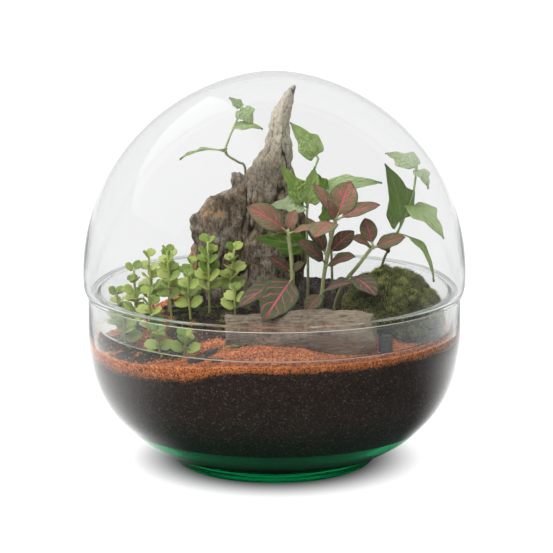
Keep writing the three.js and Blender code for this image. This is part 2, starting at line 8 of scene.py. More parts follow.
import bmesh
import bpy
from mathutils import Matrix, Vector, noise


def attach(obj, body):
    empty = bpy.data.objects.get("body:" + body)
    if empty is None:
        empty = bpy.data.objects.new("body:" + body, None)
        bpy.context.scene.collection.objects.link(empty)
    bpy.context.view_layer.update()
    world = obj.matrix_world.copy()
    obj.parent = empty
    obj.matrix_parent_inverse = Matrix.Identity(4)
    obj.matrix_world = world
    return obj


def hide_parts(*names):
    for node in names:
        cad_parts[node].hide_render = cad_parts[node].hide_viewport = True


bl_info = {
    "name": "Glass plant terrarium",
    "version": (1, 0, 0),
    "blender": (4, 5, 0),
    "location": "View3D > Sidebar > Terrarium",
    "description": "Finishes the glass, ground, wood, moss and plants of a closed terrarium",
    "category": "Object",
}

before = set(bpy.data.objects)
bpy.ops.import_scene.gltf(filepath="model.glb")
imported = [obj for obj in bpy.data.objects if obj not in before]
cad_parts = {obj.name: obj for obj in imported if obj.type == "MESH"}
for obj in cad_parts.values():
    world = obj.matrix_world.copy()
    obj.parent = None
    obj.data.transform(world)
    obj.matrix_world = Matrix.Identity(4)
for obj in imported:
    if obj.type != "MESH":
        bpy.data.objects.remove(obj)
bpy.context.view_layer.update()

MM = 0.001
TURN = 2 * math.pi
# Heights and shares this near count as the same
CLOSE = 0.01

# Glass, as in the part's source: [radius, height] up the outside and up the inside of the bowl
BOWL_OUTER = [
    (77, 0), (80.5, 4), (85, 9), (96, 14.5), (109.2, 22.5), (120, 32.5), (130.3, 44.5), (138, 58.5),
    (143, 74.5), (145.6, 96), (145.6, 131.5),
]
BOWL_INNER = [
    (60, 13.5), (84, 16.5), (98, 24), (112, 36.5), (124, 51.5), (132.5, 66), (138.8, 84), (141.4, 100),
    (142.1, 131.5),
]
BOWL_RIM_Z = 133.5
RIM_ROUND = 0.7
# How far down the bowl's rim and up the collar's edge the glass is ground, and the share that it scatters as
# white, which is partly painted highlight on the rims
BOWL_GROUND = 0.35
COLLAR_GROUND = 0.75
RIM_WHITE_AND_PAINTED_HIGHLIGHT = 0.55
# Height from one ring left in the base to the next
RIPPLE_STEP = 2.5
FOOT_INNER_RADIUS = 64
FOOT_HOLLOW = 2.5
DOME_RADIUS = 149.3
DOME_WIDEST_Z = 148
DOME_TOP_Z = 306.5
DOME_HEIGHT_POWER = 2.07
DOME_RADIUS_POWER = 1.81
DOME_SHOULDER_RADIUS = 147.2
COLLAR_RADIUS = 139
COLLAR_EDGE_Z = 109.5
LEDGE = 2.4
# The blown dome thins out to this towards its top
DOME_TOP_WALL = 1.8
GAP = 0.35
BOWL_IOR = 1.46
# The blown wall is so thin that it bends and mirrors less
DOME_IOR = 1.24
BOWL_ABSORPTION = 12.0
DOME_ABSORPTION = 4.0
ABSORBED_TO = (0.55, 0.9, 0.78, 1)
# What the lamps' light becomes on its way through
LAMP_TINT = (0.97, 0.985, 0.975, 1)
# Heights in metres where the green is gone and where it is full
GREEN_FADE = (0.062, 0.032)
# Above the thick base the damp soil and sand are pressed on the glass
PRESSED = 0.15
PRESSED_Z = 29

# Ground
SAND_SHARE = 0.6
GROUND_REACH = 141
# Past this share of its reach the ground is moved out to the glass
EDGE_SHARE = 0.995
GROUND_LOW = 98
GROUND_RISE = 9
MOUND_RISE = 18
SOIL_SIDE_TOP = 86
# Where the soil's side above that is turned, a ring for each millimetre, before it is moved to the glass
SIDE_RINGS_Z = 120
SIDE_RINGS = 6
BANK_RISE = 6
SAND_DEPTH = 5.5
SAND_DEEPER = 6
# The tops of soil and sand and the sand's underside are turned at these heights, then moved to the ground
PLATEAU = GROUND_LOW + 60
CELLAR = GROUND_LOW - 60
# How far out crumbs of soil and grains of sand lie, and how many of the grains are strewn at the front
CRUMB_SHARE = 0.62
GRAIN_SHARE = 0.98 ** 0.5
GRAINS_IN_FRONT = 0.55
FRONT_HALF_ANGLE = 75
CRUMB_SEED = 7
GRAIN_SEED = 3
ROOT_DEPTH = 8

# Wood: rows of height, left edge, right edge and thickness
WOOD_MIDDLE_Y = 25
SPIRE = [
    (99, -34, 20, 28), (125, -33, 22, 29), (154, -32, 25, 28), (182, -30, 25, 26), (202, -27, 22, 24),
    (218, -23.5, 18, 22), (229, -18.5, 14, 20), (238, -13.5, 13.5, 19), (246, -7.5, 14, 18),
    (254, -5, 12.5, 16), (264, -3, 12.2, 14), (273, -1, 13.8, 11), (280, 3.5, 15.2, 9.5),
    (286.5, 7, 16.4, 7.5), (293, 13.5, 17.8, 3),
]
SHOULDER = [
    (99, -62, -14, 24), (120, -64, -14, 26), (150, -68, -14, 26), (170, -65, -15, 24), (180, -67, -16, 22),
    (189, -65.5, -17, 20), (193, -60, -18, 18), (199, -56, -18, 16), (204, -50, -19, 14),
    (208, -41.5, -20, 12), (211, -34.5, -21, 11), (217, -34, -22, 9), (223.5, -34, -26, 5),
]
LOG_LEFT = Vector((-36, -81, 118.5))
LOG_RIGHT = Vector((73, -91, 122))
LOG_LEFT_RADIUS = 13.5
LOG_RIGHT_RADIUS = 16.5
LOG_WORN_END = 0.72
# Worn grey of the slab; made lighter, it also paints the reflected light over the spire's top
WORN_WOOD_AND_PAINTED_TOP = (0.42, 0.37, 0.3)
WORN_LOG = (0.38, 0.31, 0.23)
BROKEN_LOG = (0.22, 0.175, 0.125)

# Slate chips: name, x, y, length, width, height, turn in degrees
CHIPS = [
    ("slate_log_end", 82, -90, 11, 9, 14, 10), ("slate_front", -56, -112, 17, 12, 5, 35),
    ("slate_front_small", -41, -119, 11, 7, 4, -20), ("slate_wood_foot", -78, -9, 14, 10, 5, 15),
    ("slate_left", -104, -6, 10, 8, 4, 60), ("slate_middle", -46, -97, 10, 7, 5, 0),
]
CHIP_CORNERS = [(1, 0.1), (0.55, 0.9), (-0.3, 1), (-1, 0.35), (-0.75, -0.7), (0.2, -1)]
CHIP_SUNK = 1.5
CHIP_SHARP = math.radians(35)

MOSS_CENTRE = Vector((90, -28, 118))
MOSS_REACH = Vector((38, 43, 36))
MOSS_COLUMNS = 96
MOSS_ROWS = 56
MOSS_SEED = 5
TUFT_LEAFLETS = 9
TUFT_LENGTH = 4.8
TUFT_SPREAD = 0.62
TUFT_SHADES = (0.0, 0.3, 0.6, 1.0)

# Leaf outlines: share of the length, half width over full width, how far the edge sweeps forward
OVAL = [
    (0, 0.03, 0), (0.1, 0.05, 0), (0.17, 0.16, 0), (0.27, 0.36, 0), (0.42, 0.48, 0), (0.58, 0.5, 0),
    (0.74, 0.43, 0), (0.87, 0.28, 0), (0.95, 0.14, 0), (1, 0.01, 0),
]
LOBED = [
    (0, 0.03, 0), (0.08, 0.05, 0), (0.12, 0.27, -0.07), (0.2, 0.4, -0.05), (0.28, 0.47, 0.02),
    (0.35, 0.5, 0.05), (0.43, 0.38, 0.06), (0.52, 0.28, 0.05), (0.64, 0.25, 0.03), (0.78, 0.17, 0.02),
    (0.9, 0.08, 0), (1, 0.01, 0),
]
ROUND = [
    (0, 0.04, 0), (0.1, 0.06, 0), (0.2, 0.22, -0.02), (0.34, 0.4, 0), (0.52, 0.5, 0), (0.7, 0.49, 0),
    (0.84, 0.4, 0.02), (0.92, 0.27, 0.05), (0.95, 0.13, 0.08),
]
LANCE = [
    (0, 0.03, 0), (0.1, 0.1, 0), (0.25, 0.4, 0), (0.42, 0.46, 0), (0.6, 0.36, 0), (0.8, 0.16, 0),
    (1, 0.01, 0),
]

# Plants: node, root, path of the stem, and leaves from, to, width and face. A leaf may add its own outline
# and arch.
PINK_VEINED = [
    ("pink_veined_left", (14, -45), [(14, -45, 140), (13, -43, 165), (10, -40, 190)], [
        ((10, -41, 188), (-21, -48, 209), 20, (0.25, -0.8, 0.55)),
        ((10, -40, 188), (16, -33, 204), 10, (-0.2, -1, 0.3)),
        ((11, -41, 187), (34, -48, 192), 13, (0.1, -0.3, 1)),
        ((10.5, -41, 185), (-3, -57, 188), 10, (-0.1, 0.3, 1)),
        ((13, -44, 156), (-4, -50, 170), 11, (0.2, -0.9, 0.5)),
        ((13, -44, 157), (23, -51, 166), 7, (-0.4, -0.9, 0.5)),
        ((14, -45, 152), (-8, -99, 132), 27, (0.25, -0.65, 0.75)),
        ((14, -45, 150), (-27, -77, 137), 20, (-0.35, -0.45, 0.85)),
        ((14, -45, 133), (-13, -53, 138), 11, (0, -0.8, 0.6)),
    ]),
    ("pink_veined_middle", (36, -40), [(37, -40, 145), (41, -40, 172), (47, -40, 200)], [
        ((47, -41, 196), (30, -63, 188), 22, (-0.2, -0.35, 1)),
        ((47, -40, 198), (58, -33, 226), 22, (-0.15, -1, 0.3)),
        ((48, -41, 198), (80, -45, 210), 12, (-0.1, -0.7, 0.8)),
        ((46, -40, 198), (30, -28, 223), 11, (0.6, -0.9, 0.2)),
        ((46, -41, 197), (40, -51, 214), 9, (0.4, -0.8, 0.3)),
        ((40, -40, 168), (24, -26, 197), 13, (0.5, -0.9, 0.2)),
        ((39, -41, 163), (17, -57, 184), 14, (0.3, -0.75, 0.6)),
        ((39, -41, 160), (61, -59, 172), 14, (0.1, -0.6, 0.8)),
        ((41, -39, 170), (61, -30, 187), 14, (-0.2, -0.9, 0.5)),
        ((37, -41, 140), (58, -67, 153), 14, (0.1, -0.65, 0.75)),
        ((36, -40, 139), (24, -58, 129), 13, (-0.2, -0.8, 0.6)),
    ]),
    ("pink_veined_right", (47, -30), [(53, -38, 146), (64, -44, 162), (75, -46, 178)], [
        ((75, -46, 176), (99, -51, 186), 13, (0, -0.75, 0.75)),
        ((75, -46, 178), (69, -35, 198), 13, (0, -1, 0.25)),
        ((74, -46, 177), (59, -64, 187), 13, (0.2, -0.6, 0.8)),
        ((74, -46, 177), (88, -33, 170), 11, (0.2, 0.2, 1)),
        ((58, -42, 153), (76, -77, 146), 18, (0, -0.5, 0.9)),
    ]),
]
IVY = [
    ("ivy_left", (-30, 56), [
        (-29, 52, 150), (-26, 47, 190), (-23, 39, 218), (-24, 29, 229), (-29, 15, 234), (-38, 5, 243),
        (-35, 6, 254), (-31, 9, 263), (-25, 14, 277),
    ], [
        ((-37, 5, 243), (-72, -30, 243), 15, (0.1, 0.2, 1)),
        ((-32, 8, 262), (-9, 0, 262), 15, (0, -0.5, 1)),
        ((-26, 13, 276), (-17, 4, 264), 17, (0.2, -1, 0.4)),
        ((-26, 13, 276), (-35, 18, 284), 10, (0, -0.6, 1)),
    ]),
    ("ivy_front", (26, -17), [(26, -16, 160), (25, -14, 195), (28, -9, 222), (34, -2, 239)], [
        ((34, -2, 239), (12, -1, 267), 21, (0.2, -1, 0.35)),
        ((25, -14, 205), (4, -12, 236), 17, (0.2, -1, 0.3)),
        ((25, -14, 203), (-5, -19, 204), 19, (0.1, -0.7, 0.8)),
        ((25, -15, 204), (31, -13, 234), 21, (0.15, -1, 0.2)),
        ((26, -16, 171), (-16, -8, 177), 22, (0.1, -0.9, 0.5)),
    ]),
    ("ivy_back", (46, 22), [(45, 21, 160), (42, 16, 190), (38, 11, 213)], [
        ((38, 11, 212), (84, 5, 219), 19, (0.1, -0.7, 0.7)),
        ((39, 12, 210), (29, -1, 229), 13, (0.4, -0.9, 0.3)),
        ((42, 16, 186), (39, 3, 207), 15, (0.1, -1, 0.3)),
    ]),
    ("ivy_right", (84, 26), [
        (86, 21, 150), (94, 2, 175), (102, -11, 198), (107, -17, 216), (109, -19, 236),
    ], [
        ((98, -6, 188), (84, -38, 240), 32, (0.35, -0.9, 0.4)),
        ((109, -19, 233), (86, 0, 243), 21, (0, -0.5, 1)),
        ((109, -19, 233), (117, -35, 221), 13, (0.3, -0.6, 0.7)),
        ((104, -13, 205), (129, -42, 183), 24, (0.4, -0.7, 0.6)),
        ((94, 2, 175), (80, -6, 172), 12, (-0.2, -0.7, 0.7)),
        ((96, -2, 180), (122, -44, 150), 11, (0.5, -0.3, 0.8), LANCE, 0.16),
    ]),
]
# How light each leaf of a vine is: 0 is deep green, 0.5 fresh green and 1 pale; the paler leaves are partly
# their own colour and partly painted reflection of the glass in front of them
IVY_TONES_AND_PAINTED_REFLECTION = {
    "ivy_left": (0.6, 0.65, 0.8, 0.75), "ivy_front": (0.65, 0.3, 0.9, 0.55, 0.05),
    "ivy_back": (0.8, 0.5, 0.45), "ivy_right": (0.1, 0.9, 0.85, 0.7, 0.4, 0.45),
}
# The leaf that has turned yellow: the last of the left plant
YELLOW_LEAF = ("pink_veined_left", 8)
PINK_STEM_RADIUS = 1.7
IVY_STEM_RADIUS = 1.3
LEAF_ARCH = 0.08
SPRIG_ARCH = 0.05
# Cells of a blade along and across
PINK_CELLS = (28, 18)
IVY_CELLS = (32, 22)
SPRIG_CELLS = (9, 8)
# Seeds of what varies from leaf to leaf
PINK_SEED = 11
IVY_SEED = 12
SPRIG_SEED = 13
LEAF_FOLD = 0.16
LEAF_THICKNESS = 0.45

# Creeping sprigs: root x, root y, top x, top y, height above the ground, pairs of leaves
SPRIGS = [
    (-50, -37, -51, -31, 56, 5), (-36, -28, -31, -29, 48, 4), (-79, -42, -82, -40, 54, 5),
    (-93, -28, -97, -26, 50, 4), (-106, -36, -108, -33, 50, 4), (-118, -16, -123, -17, 32, 3),
    (-65, -30, -64, -24, 38, 4), (-64, -53, -66, -54, 34, 3), (-111, -57, -113, -58, 26, 3),
    (-84, -88, -86, -89, 22, 2), (-66, -94, -65, -97, 18, 2), (-30, -52, -30, -55, 20, 2),
    (-92, -60, -95, -63, 36, 3), (-82, -16, -82, -13, 44, 4),
]
SPRIG_STEM_RADIUS = 1
SPRIG_LEAF = 13
LEAN_TO_LIGHT = 0.75
# Seed and gaps of the leaves' places, as in the part's source: to the bowl's and the collar's glass below a
# height, to the dome's above it, to the slab, the log, other leaves and other stems
SPRIG_DRAWS = 20
COLLAR_TOP = 138
LOW_REACH = 133.5
HIGH_REACH = 140
SLAB_FRONT = 9
LOG_TOP = 136
LOG_BACK = -64
BLADE_GAP = 1.6
STEM_GAP = 2.2
STEM_CLEAR = 3.4
# Young leaves between the pairs, as shares of a grown one
YOUNG_LEAF = (0.4, 0.62)

# Radii in metres between which the floor's glow fades into the terrarium's painted shadow
FLOOR_PAINTED_SHADOW = (0.068, 0.126)
FLOOR_COLOUR = (0.12, 0.12, 0.12)
# The room is dim on the camera's side, between these shares of the way back, and a little more so to the
# right
AROUND = (-0.6, 0.4)
LEAN = -0.27
# The mirrored floor: how far beside the terrarium it dims, and from which share of the way back it is white
BESIDE = (0.32, 0.6)
BEHIND = (0.78, 0.93)
# Distance between the three floors
FLOOR_STEP = 0.0002
PANEL_PLACE = Vector((-1.33, 0.106, 1.05))
PANEL_SIZE = (2.2, 1.8)
PANEL_TURN = math.radians(14.5)
FILL_PLACE = Vector((-0.7, -2.4, 1.5))
FILL_AIM = Vector((0, 0, 0.2))
FILL_SIZE = (1.8, 1.8)
CEILING_TILT = math.radians(20)
CEILING_BREADTH = math.radians(60)

# Camera, fitted to the photograph's rim and collar
CAMERA_DISTANCE = 1.8
CAMERA_ELEVATION = math.radians(11.55)
CAMERA_AIM = Vector((0.0016, 0, 0.1453))
CAMERA_LENS = 149.6

# Vertex attribute that carries what a material needs to know of a piece's shape
TRAITS = "traits"


class GlassSettings(bpy.types.PropertyGroup):
    segments: bpy.props.IntProperty(
        name="Segments", description="Steps round the bowl and the dome", default=160, min=32)
    wall: bpy.props.FloatProperty(
        name="Wall", description="Thickness of the blown glass", default=0.0035, unit="LENGTH")
    clear: bpy.props.FloatVectorProperty(
        name="Clear glass", description="Tint of the bowl's thin walls", subtype="COLOR",
        default=(0.985, 0.985, 0.98))
    blown: bpy.props.FloatVectorProperty(
        name="Blown glass", description="Tint of the dome", subtype="COLOR", default=(0.912, 0.912, 0.912))
    base: bpy.props.FloatVectorProperty(
        name="Base glass", description="Tint of the thick base", subtype="COLOR", default=(0.008, 0.42, 0.16))
    ripple: bpy.props.FloatProperty(
        name="Ripple", description="Height of the rings that blowing left in the base", default=0.0003,
        unit="LENGTH")


class GroundSettings(bpy.types.PropertyGroup):
    segments: bpy.props.IntProperty(
        name="Segments", description="Steps round the soil and the sand", default=300, min=64)
    grains: bpy.props.IntProperty(
        name="Grains", description="Loose grains on the sand", default=9000, min=0)
    crumbs: bpy.props.IntProperty(
        name="Crumbs", description="Loose crumbs on the soil", default=3200, min=0)
    soil: bpy.props.FloatVectorProperty(
        name="Soil", description="Colour of the potting soil", subtype="COLOR",
        default=(0.026, 0.0145, 0.011))
    sand: bpy.props.FloatVectorProperty(
        name="Sand", description="Colour of the crushed grit", subtype="COLOR", default=(0.86, 0.24, 0.075))
    slate: bpy.props.FloatVectorProperty(
        name="Slate", description="Colour of the slate chips", subtype="COLOR", default=(0.03, 0.036, 0.042))


class WoodSettings(bpy.types.PropertyGroup):
    voxel: bpy.props.FloatProperty(
        name="Voxel", description="Size of the mesh that the bark is carved in", default=0.001, unit="LENGTH")
    cracks: bpy.props.FloatProperty(
        name="Cracks", description="Depth of the cracks along the grain", default=0.0014, unit="LENGTH")
    bark: bpy.props.FloatVectorProperty(
        name="Bark", description="Colour of the weathered wood", subtype="COLOR", default=(0.2, 0.155, 0.115))
    broken: bpy.props.FloatVectorProperty(
        name="Broken wood", description="Colour where the bark has come off", subtype="COLOR",
        default=(0.33, 0.18, 0.09))


class MossSettings(bpy.types.PropertyGroup):
    tufts: bpy.props.IntProperty(
        name="Tufts", description="Tufts on the moss mound", default=3600, min=0)
    strays: bpy.props.IntProperty(
        name="Strays", description="Tufts among the sprigs", default=1500, min=0)
    tip: bpy.props.FloatVectorProperty(
        name="Tips", description="Colour of the fresh tips", subtype="COLOR", default=(0.6, 0.61, 0.18))
    # Near black: painted shade between the tufts and on the mound's skin, partly the moss's darker old growth
    depth: bpy.props.FloatVectorProperty(
        name="Depth", description="Colour between the tufts", subtype="COLOR", default=(0.018, 0.026, 0.007))


class LeafSettings(bpy.types.PropertyGroup):
    pink: bpy.props.FloatVectorProperty(
        name="Pink veins", description="Colour of the veins", subtype="COLOR", default=(0.66, 0.13, 0.19))
    dark: bpy.props.FloatVectorProperty(
        name="Dark leaves", description="Green between the pink veins", subtype="COLOR",
        default=(0.055, 0.085, 0.04))
    ivy: bpy.props.FloatVectorProperty(
        name="Ivy", description="Green of the ivy", subtype="COLOR", default=(0.5, 0.68, 0.19))
    sprig: bpy.props.FloatVectorProperty(
        name="Sprigs", description="Green of the round leaves", subtype="COLOR", default=(0.5, 0.58, 0.15))
    hairs: bpy.props.IntProperty(
        name="Hairs", description="Hairs on each pink-veined stem", default=260, min=0)


class StageSettings(bpy.types.PropertyGroup):
    floor: bpy.props.FloatProperty(
        name="Floor", description="Brightness of the lit floor", default=1.02)
    behind: bpy.props.FloatProperty(
        name="Backdrop", description="Brightness of the room behind the terrarium", default=0.9)
    front: bpy.props.FloatProperty(
        name="Room in front", description="Brightness of the room behind the camera", default=0.08)
    sides: bpy.props.FloatProperty(
        name="Mirrored sides", description="Brightness of the table beside the terrarium", default=1.75)
    far: bpy.props.FloatProperty(
        name="Mirrored distance", description="Brightness of the table farther out beside it", default=0.65)
    panel: bpy.props.FloatProperty(
        name="Overhead panel", description="Brightness of the softbox overhead", default=0.9)
    fill: bpy.props.FloatProperty(
        name="Front fill", description="Brightness of the softbox beside the camera", default=1.9)
    sky: bpy.props.FloatProperty(
        name="Ceiling", description="Strength of the broad light from above", default=3.3)


SETTINGS = {
    "terrarium_glass": GlassSettings, "terrarium_ground": GroundSettings, "terrarium_wood": WoodSettings,
    "terrarium_moss": MossSettings, "terrarium_leaves": LeafSettings, "terrarium_stage": StageSettings,
}


# Shader maths

class Wire:
    """A socket whose arithmetic adds Math nodes."""

    def __init__(self, finish, socket):
        self.finish = finish
        self.socket = socket

    def maths(self, operation, *values):
        return self.finish.add("ShaderNodeMath", {"operation": operation}, dict(enumerate(values)))

    def __add__(self, other):
        return self.maths("ADD", self, other)

    def __sub__(self, other):
        return self.maths("SUBTRACT", self, other)

    def __rsub__(self, other):
        return self.maths("SUBTRACT", other, self)

    def __mul__(self, other):
        return self.maths("MULTIPLY", self, other)

    def __pow__(self, other):
        return self.maths("POWER", self, other)

    def __abs__(self):
        return self.maths("ABSOLUTE", self)

    __radd__ = __add__
    __rmul__ = __mul__

    def largest(self, other):
        return self.maths("MAXIMUM", self, other)

    def least(self, other):
        return self.maths("MINIMUM", self, other)

    def fraction(self):
        return self.maths("FRACT", self)

    def rise(self, low, high):
        """0 below low and 1 above high, smooth between them; low above high turns it round."""
        turned = low > high
        values = {0: self, 1: min(low, high), 2: max(low, high), 3: float(turned), 4: float(not turned)}
        return self.finish.add("ShaderNodeMapRange", {"interpolation_type": "SMOOTHSTEP"}, values)


class Finish:
    """A material or a world, and the nodes that make it."""

    def __init__(self, name, world=None, coordinates="Object"):
        self.made = world or bpy.data.materials.new(name)
        self.made.use_nodes = True
        self.tree = self.made.node_tree
        self.tree.nodes.clear()
        self.place = self.add("ShaderNodeTexCoord", {}, {}, coordinates)

    def add(self, kind, settings, values, output=0):
        """A node of any type, with its settings and the values or links of its sockets."""
        node = self.tree.nodes.new(kind)
        for key, value in settings.items():
            setattr(node, key, value)
        for key, value in values.items():
            socket = node.inputs[key]
            if isinstance(value, Wire):
                self.tree.links.new(value.socket, socket)
            else:
                socket.default_value = value
        return Wire(self, node.outputs[output]) if node.outputs else None

    def parts(self, vector):
        """The x, y and z of a vector."""
        return [self.add("ShaderNodeSeparateXYZ", {}, {0: vector}, axis) for axis in "XYZ"]

    def vector(self, x, y, z):
        return self.add("ShaderNodeCombineXYZ", {}, {0: x, 1: y, 2: z})

    def stretched(self, scale, turn=(0, 0, 0), vector=None):
        """Coordinates turned and scaled, to draw a pattern out along one direction."""
        values = {"Vector": vector or self.place, "Rotation": turn, "Scale": scale}
        return self.add("ShaderNodeMapping", {"vector_type": "TEXTURE"}, values)

    def noise(self, size, detail=4.0, roughness=0.55, vector=None, distortion=0.0):
        """Noise from 0 to 1 whose features are about size metres across."""
        values = {
            "Vector": vector or self.place, "Scale": 1 / size, "Detail": detail, "Roughness": roughness,
            "Distortion": distortion,
        }
        return self.add("ShaderNodeTexNoise", {}, values, "Fac")

    def cells(self, size, output="Distance", feature="F1", vector=None):
        """Voronoi cells about size metres across."""
        values = {"Vector": vector or self.place, "Scale": 1 / size}
        return self.add("ShaderNodeTexVoronoi", {"feature": feature}, values, output)

    def chance(self, size):
        """A random value from 0 to 1 for each cell."""
        return self.parts(self.cells(size, "Color"))[0]

    def trait(self):
        """The three values that the mesh carries in an attribute."""
        return self.parts(self.add("ShaderNodeAttribute", {"attribute_name": TRAITS}, {}, "Vector"))

    def mix(self, factor, first, second):
        colours = {0: factor}
        for key, value in ((6, first), (7, second)):
            colours[key] = value if isinstance(value, Wire) else (*value[:3], 1)
        return self.add("ShaderNodeMix", {"data_type": "RGBA"}, colours, 2)

    def vary(self, factor, colour, low, high):
        """A fixed colour that goes from low to high times itself."""
        return self.mix(factor, [c * low for c in colour], [c * high for c in colour])

    def shade(self, colour, brightness, factor=1.0):
        """A colour made lighter or darker where the factor is 1."""
        shaded = self.add("ShaderNodeVectorMath", {"operation": "SCALE"}, {0: colour, 3: brightness})
        return self.mix(factor, colour, shaded)

    def bump(self, height, distance, strength):
        values = {"Height": height, "Distance": distance, "Strength": strength}
        return self.add("ShaderNodeBump", {}, values, "Normal")

    def surface(self, **values):
        """A Principled shader, whose sockets are named with underscores."""
        named = {key.replace("_", " "): value for key, value in values.items()}
        for key, value in named.items():
            if isinstance(value, (tuple, bpy.types.bpy_prop_array)) and len(value) == 3:
                named[key] = (*value, 1)
        return self.add("ShaderNodeBsdfPrincipled", {}, named)

    def blend(self, factor, first, second):
        return self.add("ShaderNodeMixShader", {}, {0: factor, 1: first, 2: second})

    def done(self, surface, kind="ShaderNodeOutputMaterial", **more):
        self.add(kind, {}, {"Surface": surface, **more})
        return self.made

    def plain(self, colour, roughness, normal):
        """Ends a material that only reflects."""
        return self.done(self.surface(Base_Color=colour, Roughness=roughness, Normal=normal))


# Shapes

def smooth(value):
    """0 to 1, easing in and out."""
    value = min(max(value, 0), 1)
    return value * value * (3 - 2 * value)


def ground(x, y):
    """Height of the ground: it climbs to the right, to a mound in the middle and to a bank by the log."""
    radius = math.hypot(x, y)
    level = GROUND_LOW + GROUND_RISE * smooth((x + 130) / 120)
    mound = smooth((y + 105) / 55) * (1 - smooth((radius - 85) / 50))
    bank = smooth((x + 55) / 25) * (1 - smooth((x - 15) / 30)) * smooth((-84 - y) / 12)
    return level + MOUND_RISE * mound + BANK_RISE * bank * smooth((136 - radius) / 32)


def sand_depth(x):
    return SAND_DEPTH + SAND_DEEPER * (1 - smooth((x + 95) / 70))


def through(points, steps):
    """Points on a smooth centripetal curve through the given ones."""
    rows = [Vector(point) for point in points]
    rows = [2 * rows[0] - rows[1], *rows, 2 * rows[-1] - rows[-2]]
    curve = []
    for a, b, c, d in zip(rows, rows[1:], rows[2:], rows[3:]):
        t1 = max((b - a).length, 1e-6) ** 0.5
        t2 = t1 + max((c - b).length, 1e-6) ** 0.5
        t3 = t2 + max((d - c).length, 1e-6) ** 0.5
        for step in range(steps):
            t = t1 + (t2 - t1) * step / steps
            ab = a.lerp(b, t / t1)
            bc = b.lerp(c, (t - t1) / (t2 - t1))
            cd = c.lerp(d, (t - t2) / (t3 - t2))
            abc = ab.lerp(bc, t / t2)
            bcd = bc.lerp(cd, (t - t1) / (t3 - t1))
            curve.append(abc.lerp(bcd, (t - t1) / (t2 - t1)))
    curve.append(rows[-2])
    return curve


def between(table, value):
    """The row of a table at a value of its first column, straight between its rows."""
    for low, high in zip(table, table[1:]):
        if value <= high[0]:
            share = (value - low[0]) / max(high[0] - low[0], 1e-9)
            return low.lerp(high, min(max(share, 0), 1))
    return table[-1]


INNER_CURVE = through([(z, r) for r, z in BOWL_INNER], 4)


def glass_radius(height):
    """Radius of the bowl's inside at a height."""
    return between(INNER_CURVE, height)[1]


def arc(centre, radius, start, end, steps):
    """Points on a round edge, with angles in degrees."""
    angles = [math.radians(start + (end - start) * i / steps) for i in range(steps + 1)]
    return [(centre[0] + radius * math.cos(a), centre[1] + radius * math.sin(a)) for a in angles]


def turned(profile, segments, closed=False):
    """A bmesh spun about the upright axis from (radius, height) points."""
    bm = bmesh.new()
    verts = [bm.verts.new((r, 0, z)) for r, z in profile]
    edges = [bm.edges.new(pair) for pair in zip(verts, verts[1:])]
    if closed:
        edges.append(bm.edges.new((verts[-1], verts[0])))
    bmesh.ops.spin(
        bm, geom=verts + edges, axis=(0, 0, 1), cent=(0, 0, 0), angle=TURN, steps=segments, use_merge=True)
    bmesh.ops.remove_doubles(bm, verts=bm.verts[:], dist=1e-4)
    bmesh.ops.recalc_face_normals(bm, faces=bm.faces[:])
    return bm


def new_traits(bm):
    """The layer of three values that a material reads."""
    return bm.verts.layers.float_vector.new(TRAITS)


def in_scene(name, data):
    """A new object of this data, in the scene."""
    holder = bpy.data.objects.new(name, data)
    bpy.context.scene.collection.objects.link(holder)
    return holder


def as_mesh(bm, name="template"):
    mesh = bpy.data.meshes.new(name)
    bm.to_mesh(mesh)
    bm.free()
    return mesh


def add_copy(bm, template, place):
    copy = template.copy()
    copy.transform(place)
    bm.from_mesh(copy)
    bpy.data.meshes.remove(copy)


def remeshed(bm, voxel):
    """The outer skin of overlapping closed shapes, as even small faces."""
    holder = in_scene("remesh", as_mesh(bm))
    modifier = holder.modifiers.new("skin", "REMESH")
    modifier.mode = "VOXEL"
    modifier.voxel_size = voxel
    modifier.adaptivity = 0
    evaluated = holder.evaluated_get(bpy.context.evaluated_depsgraph_get())
    skin = bmesh.new()
    skin.from_mesh(evaluated.to_mesh())
    evaluated.to_mesh_clear()
    bpy.data.objects.remove(holder)
    return skin


def tube(points, radii, sides=3):
    """A round stem along points, with a radius for each, in a plant's second material."""
    data = bpy.data.curves.new("stem", "CURVE")
    data.dimensions = "3D"
    data.bevel_depth = 1
    data.bevel_resolution = sides
    data.use_fill_caps = True
    spline = data.splines.new("POLY")
    spline.points.add(len(points) - 1)
    for point, place, radius in zip(spline.points, points, radii):
        point.co = (*place, 1)
        point.radius = radius
    holder = bpy.data.objects.new("stem", data)
    mesh = bpy.data.meshes.new_from_object(holder)
    bpy.data.objects.remove(holder)
    bpy.data.curves.remove(data)
    bm = bmesh.new()
    bm.from_mesh(mesh)
    bmesh.ops.remove_doubles(bm, verts=bm.verts[:], dist=1e-4)
    for face in bm.faces:
        face.material_index = 1
    bm.to_mesh(mesh)
    bm.free()
    return mesh


def finish_piece(name, bm, slot, nodes, *materials, sharp=None):
    """Makes a piece of a bmesh in millimetres, in the place of its nodes."""
    bmesh.ops.scale(bm, vec=(MM, MM, MM), verts=bm.verts[:])
    mesh = as_mesh(bm, name)
    mesh.shade_smooth()
    if sharp:
        mesh.set_sharp_from_angle(angle=sharp)
    for material in materials:
        mesh.materials.append(material)
    piece = in_scene(name, mesh)
    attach(piece, "root")
    if nodes:
        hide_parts(*nodes)


def wavy(point, size, seed=0.0):
    """Smooth noise from -1 to 1 whose features are about size across."""
    return noise.noise(Vector(point) / size + Vector((seed, seed * 1.7, -seed)))


def facing(normal, turn, scale):
    """Stands a template that points up on a surface with this normal."""
    upright = Vector((0, 0, 1)).rotation_difference(normal).to_matrix().to_4x4()
    return upright @ Matrix.Rotation(turn, 4, "Z") @ Matrix.Diagonal((*scale, 1))


# Glass

